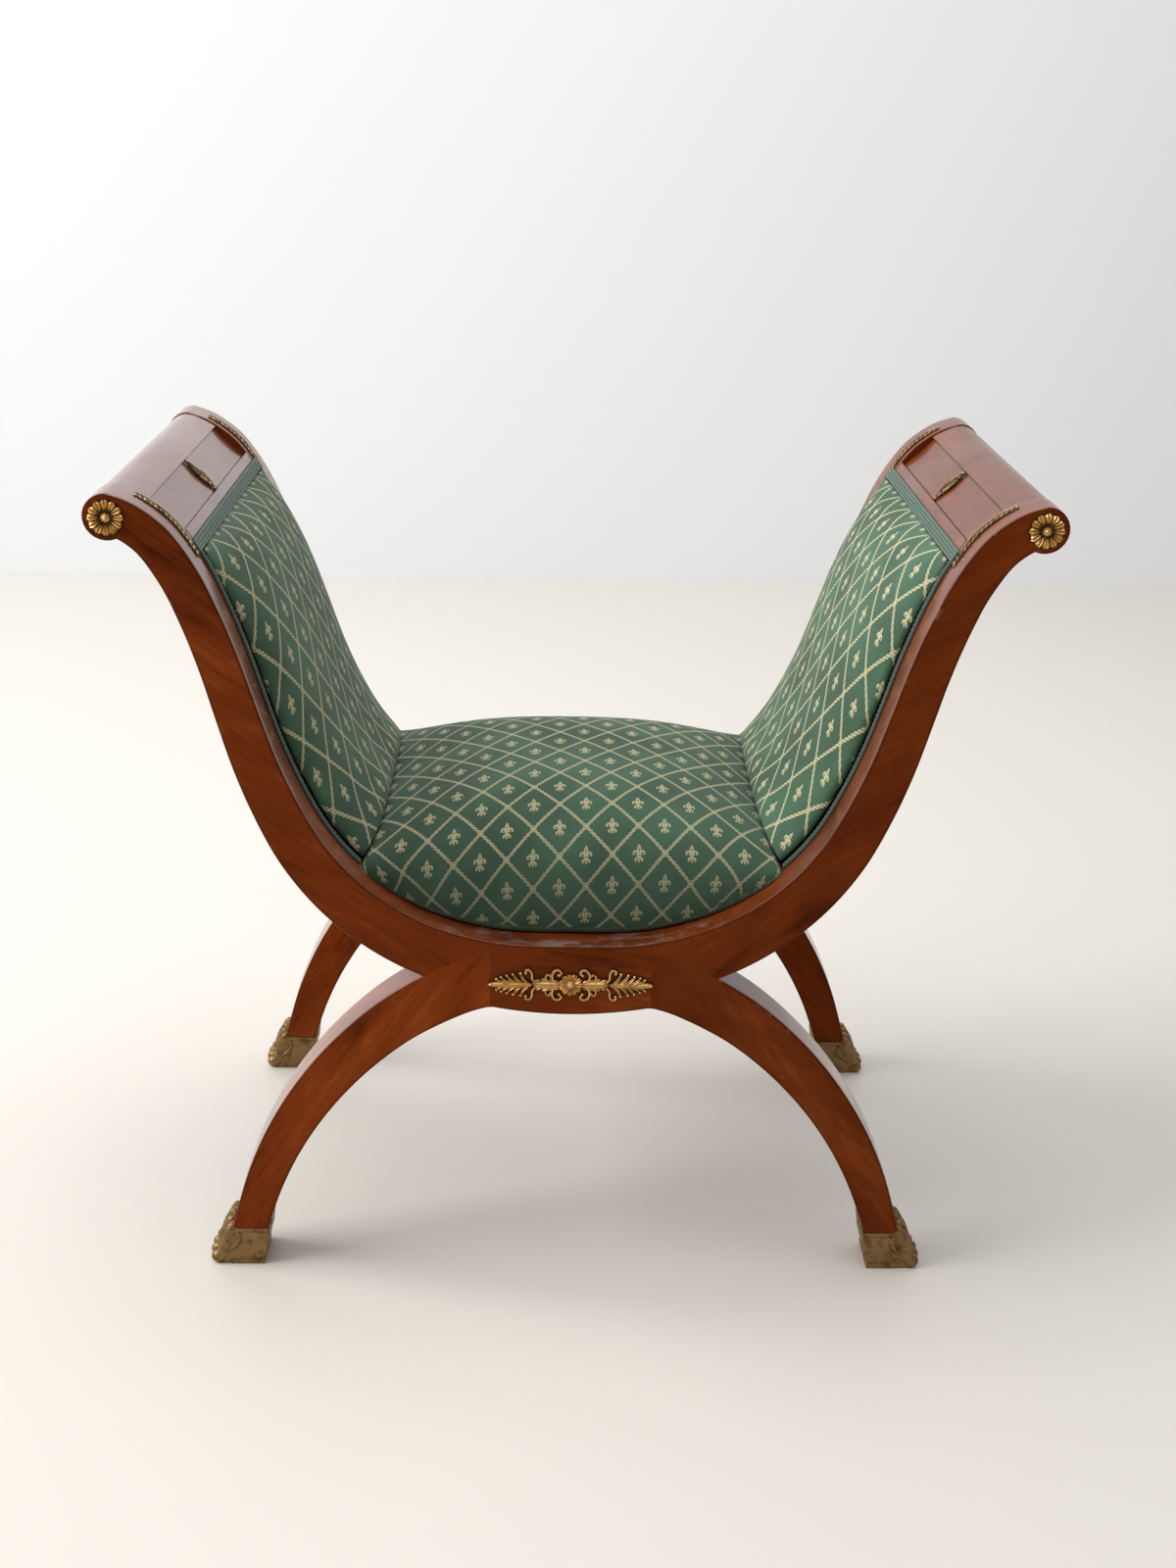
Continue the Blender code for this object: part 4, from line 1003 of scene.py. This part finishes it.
def ornament(look, place):
    """Rosette between C-scrolls, with husks, S-scrolls and palmettes out to drop-shaped tips."""
    node, sign_y = f"{place}_ornament", PLACES[place]
    low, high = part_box(node)
    seat = high.y if sign_y < 0 else low.y
    middle = (low.z + high.z) / 2
    thick = (high.y - low.y) * 0.95
    unit = (high.x - low.x) / 2 / 70

    def on_block(along, across, up):
        return (along * unit, seat + sign_y * up * thick, middle + across * unit)

    cast = Casting(on_block)
    for k in range(11):
        way = direction(k, 11)
        cast.blade([way * r for r in (3.0, 6.8, 10.6)], 2.7, 0.78, groove=0.45, taper=0.4, belly=1.8)
    cast.boss(0, 0, 9.6, 0.40, sides=36)
    cast.boss(0, 0, 4.2, 0.80, petals=8, depth=0.15)
    cast.boss(0, 0, 2.4, 1.0, sides=16)
    for sx in (-1, 1):
        for sy in (-1, 1):
            for points, width in ORNAMENT_SCROLLS:
                points = [(sx * x, sy * y) for x, y in points]
                cast.blade(points, width * 1.22, 0.66, groove=0.12, taper=0)
                cast.boss(*points[-1], width * 1.55, 0.72, sides=12)
            for x, reach in ORNAMENT_HUSKS:
                points = [(x, 0.8), (x + 3.2, reach * 0.62), (x + 6.6, reach)]
                cast.blade([(sx * x, sy * y) for x, y in points], 2.3, 0.68, groove=0.35, taper=0.5)
            for root, tip_x, tip_y in ORNAMENT_FINGERS:
                bow = (root * 0.45 + tip_x * 0.55 + 0.6, tip_y * 0.45)
                points = [(sx * x, sy * y) for x, y in ((root, 0.4), bow, (tip_x, tip_y))]
                cast.blade(points, 1.85, 0.64, groove=0.3, taper=0.25)
                cast.boss(*points[-1], 1.55, 0.72, sides=12)
        for places, *shape in ORNAMENT_SPINE:
            cast.blade([(sx * x, 0) for x in places], *shape)
        cast.boss(sx * 67.3, 0, 1.9, 1.0, sides=16)
    cast.finish(node, look)


def rosette(look, place, side):
    """A disc of twelve broad petals with narrow ones between them, on the end of a scroll."""
    node, sign_y = f"{place}_rosette_{side}", PLACES[place]
    low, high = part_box(node)
    seat = high.y if sign_y < 0 else low.y
    centre_x, centre_z = (low.x + high.x) / 2, (low.z + high.z) / 2
    radius, thick = (high.x - low.x) / 2, high.y - low.y

    def on_scroll(along, across, up):
        return (centre_x + along, seat + sign_y * up, centre_z + across)

    cast = Casting(on_scroll)
    cast.boss(0, 0, radius * 0.93, thick * 0.22, sides=48)
    for k in range(24):
        way = direction(k, 24) * radius
        if k % 2:
            cast.blade([way * share for share in (0.60, 0.80, 0.95)], radius * 0.075, thick * 0.50)
        else:
            spots = [way * share for share in (0.27, 0.62, 0.97)]
            cast.blade(spots, radius * 0.215, thick * 0.80, groove=0.45, taper=0.45, belly=2.3)
    cast.boss(0, 0, radius * 0.30, thick * 0.62, petals=8, depth=0.18, sides=32)
    cast.boss(0, 0, radius * 0.17, thick, sides=20)
    cast.finish(node, look)


def leaf_spray(cast, start, end, half, pairs, leaf, thick, lean, narrowing):
    """Leaves in pairs along a spine, within an even outline or one that narrows to its end."""
    way = 1 if end > start else -1
    spine = [(start, 0), ((start + end) / 2, 0), (end, 0)]
    cast.blade(spine, leaf * 0.9, thick * 0.5, groove=0, taper=0.2)
    for k in range(pairs):
        share = (k + 0.75) / pairs
        reach = half * math.cos(math.pi / 2 * share * narrowing) ** 0.6
        x = start + (end - start) * min(share, 1 - 0.15 / pairs)
        foot_x = x - way * reach / math.tan(lean)
        foot_x = max(foot_x, start) if way > 0 else min(foot_x, start)
        for sign in (-1, 1):
            bow = ((foot_x + x) / 2 - way * reach * 0.12, sign * reach * 0.60)
            blade = [(foot_x, sign * leaf * 0.25), bow, (x, sign * (reach - leaf * 0.2))]
            cast.blade(blade, leaf, thick * (1.0 - 0.12 * (k % 2)), groove=0.45, taper=0.8, belly=1.1)
    cast.blade(spine, leaf * 0.35, thick * 1.05, groove=0, taper=0.3)


def domed(a, length, b, half, lowest):
    """How high a relief stands at a distance along its spine and one across it, as a share."""
    share = min(max(a / length, 0), 1)
    across = 1 - (1 - lowest) * min(abs(b) / half, 1) ** 2
    return across * (0.30 + 0.70 * math.sin(math.pi * share) ** 0.7)


def crest_leaf(look, side):
    """Two sprays on a crest's panel, from a flower in its middle up and down."""
    node, sign = f"crest_leaf_{side}", SIDES[side]
    low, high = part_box(node)
    near, far = sorted((abs(low.x), abs(high.x)))
    top, foot = Vector((sign * far, 0, high.z)), Vector((sign * near, 0, low.z))
    out = Vector((-(top.z - foot.z) * sign, 0, abs(top.x - foot.x))).normalized()
    along = (foot - top).normalized()
    start = top - out * 0.0012
    length, half = (foot - top).length, (high.y - low.y) / 2

    def on_panel(a, b, up):
        return start + along * a + Vector((0, b, 0)) + out * up * domed(a, length, b, half, CREST_DOME)

    cast = Casting(on_panel)
    for end in (0, length):
        leaf_spray(cast, length / 2, end, half, *CREST_SPRAY)
    for k in range(6):
        spots = [np.array([length / 2, 0]) + direction(k, 6) * r for r in (0.0008, 0.0020, 0.0033)]
        cast.blade(spots, 0.0011, 0.0040, groove=0.4, taper=0.5, belly=1.5)
    cast.boss(length / 2, 0, 0.0011, 0.0042, sides=12)
    cast.finish(node, look)


def garland(look, place, side):
    """Laurel along the top edge of an arm, bent to the edge's line."""
    node = f"{place}_garland_{side}"
    low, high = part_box(node)
    centre = np.array([(low.x + high.x) / 2, (low.z + high.z) / 2])
    y, half = (low.y + high.y) / 2, (high.y - low.y) / 2
    runs = [smooth_run(run, 0.001) for run in runs_of(section(f"{place}_arm_{side}", y))]
    line = min(runs, key=lambda run: np.linalg.norm(run - centre, axis=1).min())
    line = line if abs(line[0][0]) > abs(line[-1][0]) else line[::-1]
    spots = np.array([p for p in line if low.x < p[0] < high.x and p[1] > low.z - 0.003])
    steps = lengths_along(spots)

    def on_line(a):
        return np.array([np.interp(a, steps, spots[:, axis]) for axis in (0, 1)])

    def on_edge(a, b, up):
        a = min(max(a, 0), steps[-1])
        way = on_line(min(a + 0.002, steps[-1])) - on_line(max(a - 0.002, 0))
        way /= np.linalg.norm(way)
        normal = np.array([way[1], -way[0]])
        normal = normal if normal[1] > 0 else -normal
        rise = up * domed(a, steps[-1], b, half, GARLAND_DOME) ** 0.5 + 0.0003
        spot = on_line(a) + normal * rise
        return (spot[0], y + b, spot[1])

    cast = Casting(on_edge)
    leaf_spray(cast, 0, steps[-1], half, *GARLAND_SPRAY)
    cast.finish(node, look)


def ball(centre, radii, tilt=0.0, rings=10, sides=14):
    """Rings of an ellipsoid, tilted in the plane of X and Z."""
    c, s = math.cos(tilt), math.sin(tilt)
    made = []
    for i in range(rings + 1):
        polar = math.pi * i / rings
        x, wide = radii[0] * math.cos(polar), max(math.sin(polar), 0.02)
        ring = []
        for k in range(sides):
            angle = 2 * math.pi * k / sides
            y, z = radii[1] * wide * math.cos(angle), radii[2] * wide * math.sin(angle)
            ring.append((centre[0] + x * c - z * s, centre[1] + y, centre[2] + x * s + z * c))
        made.append(ring)
    return made


def prism(corners, half):
    """Rings of a prism about Y = 0 with the given outline in X and Z."""
    return [[(x, y, z) for x, z in corners] for y in (-half, half)]


def paw_foot(heel, toe, half):
    """A cast foot along X and about Y = 0: a collar with a rim and leaf tips, curls and clawed toes."""
    foot = Solid()
    rim = heel + (toe - heel) * SABOT_RIM_SHARE
    reach = toe - rim
    sides = (-half + SABOT_SIDE, half - SABOT_SIDE)
    collar = [
        (heel, SABOT_RIM), (heel + 0.0012, SABOT_RIM * 0.6), (heel + SABOT_LEAN, 0.0015),
        (heel + SABOT_LEAN + 0.003, 0.0), (heel + (toe - heel) * 0.40, 0.0016), (rim + 0.002, 0.0012),
        (rim + 0.006, 0.012), (rim + 0.0015, SABOT_RIM * 0.75), (rim, SABOT_RIM),
    ]
    band_foot = SABOT_RIM - 0.0028
    top_band = [
        (heel - 0.0002, band_foot), (rim + 0.0008, band_foot),
        (rim + 0.0006, SABOT_RIM), (heel - 0.0002, SABOT_RIM),
    ]
    low_band = [
        (heel + SABOT_LEAN - 0.001, 0.0), (rim, 0.0),
        (rim, 0.0035), (heel + SABOT_LEAN - 0.002, 0.0045),
    ]
    for outline, inset in ((collar, 0.0012), (top_band, 0.0002), (low_band, 0.0006)):
        foot.add(prism(outline, half - inset))
    curl = smooth_run(np.array([
        (rim + 0.0010, SABOT_RIM - 0.001), (rim - 0.0052, SABOT_RIM * 0.88),
        (rim - 0.0066, SABOT_RIM * 0.66), (rim - 0.0010, SABOT_RIM * 0.46),
        (rim + reach * 0.35, SABOT_RIM * 0.38), (rim + reach * 0.72, 0.0080),
    ]), 0.0012)
    for x, z in curl:
        for y in sides:
            foot.add(ball((x, y, z), (0.0017, 0.0014, 0.0017), 0, 6, 8))
    sole = [
        (rim - 0.004, 0.0), (rim + reach * 0.66, 0.0),
        (rim + reach * 0.60, 0.0050), (rim - 0.004, 0.0075),
    ]
    foot.add(prism(sole, half * 0.94))
    for x, tip in ((rim - 0.0010, 0.0056), (heel + 0.0010, 0.0050)):
        for k in range(-2, 3):
            leaf = (tip * (1 - 0.30 * abs(k)), half * 0.14, 0.0019)
            foot.add(ball((x, k * half * 0.20, SABOT_RIM - 0.001), leaf, math.pi / 2, 8, 8))
    for k in range(SABOT_TOES):
        from_middle = k - (SABOT_TOES - 1) / 2
        y = from_middle * half * 0.53
        base = rim - 0.0018 * (abs(from_middle) > 1)
        for t in np.linspace(0, 1, 10):
            x = base + reach * (0.02 + 0.72 * t)
            z = 0.0285 * (1 - t) ** 1.5 + 0.0066 + 0.0022 * math.sin(math.pi * 2 * t)
            thick = 0.0046 + 0.0016 * math.sin(math.pi * (t * 0.9 + 0.1))
            foot.add(ball((x, y, z), (thick, half * (0.205 + 0.035 * t), thick), 0, 8, 12))
        foot.add(ball((base + reach * 0.72, y, 0.0060), (0.0062, half * 0.243, 0.0060)))
        foot.add(ball((base + reach * 0.50, y, 0.0145), (0.0052, half * 0.235, 0.0046), -0.7, 8, 12))
        foot.add(ball((base + reach - 0.0036, y, 0.0046), (0.0034, half * 0.12, 0.0042), -0.5, 8, 8))
    foot.add(ball((rim + reach * 0.20, 0, 0.0070), (reach * 0.42, half * 0.86, 0.0062), 0, 12, 20))
    for y in sides:
        foot.add(ball((heel + 0.0105, y, 0.0085), (0.0030, 0.0013, 0.0030), 0, 8, 12))
    return foot


def sabot(look, place, side):
    """A cast foot, its forms melted into one skin."""
    node = f"{place}_sabot_{side}"
    low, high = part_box(node)
    heel, toe = sorted((abs(low.x), abs(high.x)))
    middle = (low.y + high.y) / 2
    foot = paw_foot(heel, toe, (high.y - low.y) / 2 / 1.02)
    verts = [(SIDES[side] * x, middle + y, min(max(z, 0.0), high.z)) for x, y, z in foot.verts]
    obj = make(node, "cast", verts, foot.faces, look)
    fuse = obj.modifiers.new("fuse", "REMESH")
    fuse.mode = "VOXEL"
    fuse.voxel_size = SABOT_VOXEL
    soft = obj.modifiers.new("soft", "SMOOTH")
    soft.factor = 0.5
    soft.iterations = 2
    graph = bpy.context.evaluated_depsgraph_get()
    fused = bpy.data.meshes.new_from_object(obj.evaluated_get(graph))
    obj.modifiers.clear()
    obj.data = fused
    obj.data.shade_smooth()


def hidden_pieces():
    """Ledgers and dowels keep their solids, rails too but stained; webbing and dust cover are cloth."""
    beech = bare_wood("beech_wood", BEECH)
    stained = bare_wood("stained_wood", STAINED_WOOD)
    cloths = {
        "jute": plain_cloth("jute_webbing", JUTE, 0.0022),
        "black_cloth": plain_cloth("black_cloth", BLACK_CLOTH, 0.0012),
    }
    for entry in frame["record"]["subparts"]:
        node, slot = entry["node"], entry["material_slot"]
        if slot in cloths:
            low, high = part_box(node)
            smooth_plate(node, 0.0, low.y, high.y, cloths[slot], arris=CLOTH_ARRIS)
        elif slot == "beech":
            obj = frame["nodes"][node]
            obj.data.materials.clear()
            obj.data.materials.append(stained if "rail" in node else beech)


def stage():
    """Pale floor and wall."""
    for name, corners, tone, roughness in (
        ("floor", ((-6, -6, 0), (6, -6, 0), (6, 2.2, 0), (-6, 2.2, 0)), FLOOR, 0.55),
        ("wall", ((-6, 2.2, 0), (6, 2.2, 0), (6, 2.2, 5), (-6, 2.2, 5)), WALL, 0.9),
    ):
        look = Look(f"pale_{name}", roughness=roughness)
        look.set(Base_Color=(*tone, 1.0))
        mesh = bpy.data.meshes.new(name)
        mesh.from_pydata(corners, [], [(0, 1, 2, 3)])
        mesh.materials.append(look.material)
        obj = bpy.data.objects.new(name, mesh)
        bpy.context.scene.collection.objects.link(obj)


def lights():
    world = bpy.data.worlds.new("studio")
    world.use_nodes = True
    fill(world.node_tree.nodes["Background"], Color=WORLD_COLOUR, Strength=WORLD_STRENGTH)
    bpy.context.scene.world = world
    for name, place, size, power, colour in LAMPS:
        lamp = bpy.data.lights.new(name, "AREA")
        lamp.size = size
        lamp.energy = power
        lamp.color = colour
        obj = bpy.data.objects.new(name, lamp)
        bpy.context.scene.collection.objects.link(obj)
        obj.location = place
        obj.rotation_euler = (LAMP_TARGET - Vector(place)).to_track_quat("-Z", "Y").to_euler()


def camera():
    """The photograph's camera: pitched down, with a slight roll and turn."""
    down, roll, turn = CAMERA_DOWN, CAMERA_ROLL, CAMERA_TURN
    level = Vector((math.cos(turn), math.sin(turn), 0))
    flat = math.cos(down)
    forward = Vector((-math.sin(turn) * flat, math.cos(turn) * flat, -math.sin(down)))
    upright = level.cross(forward)
    right = level * math.cos(roll) + upright * math.sin(roll)
    up = upright * math.cos(roll) - level * math.sin(roll)
    data = bpy.data.cameras.new("camera")
    data.sensor_width = 36
    data.lens = CAMERA_LENS
    obj = bpy.data.objects.new("camera", data)
    bpy.context.scene.collection.objects.link(obj)
    turned = Matrix((right, up, -forward)).transposed().to_4x4()
    obj.matrix_world = Matrix.Translation(CAMERA_PLACE) @ turned
    bpy.context.scene.camera = obj


camera()
wooden_frames()
crests()
upholstery()
outer_covers()
braids()
gilt = cast_metal("gilt_bronze", low_places)
for place in PLACES:
    ornament(gilt, place)
for corner in CORNERS:
    rosette(gilt, *corner)
aged = cast_metal("aged_gilt", low_places)
for side in SIDES:
    crest_leaf(aged, side)
for corner in CORNERS:
    garland(aged, *corner)
brass = cast_metal("old_brass", creases)
for corner in CORNERS:
    sabot(brass, *corner)
hidden_pieces()
stage()
lights()
bpy.context.scene.view_settings.view_transform = "Standard"
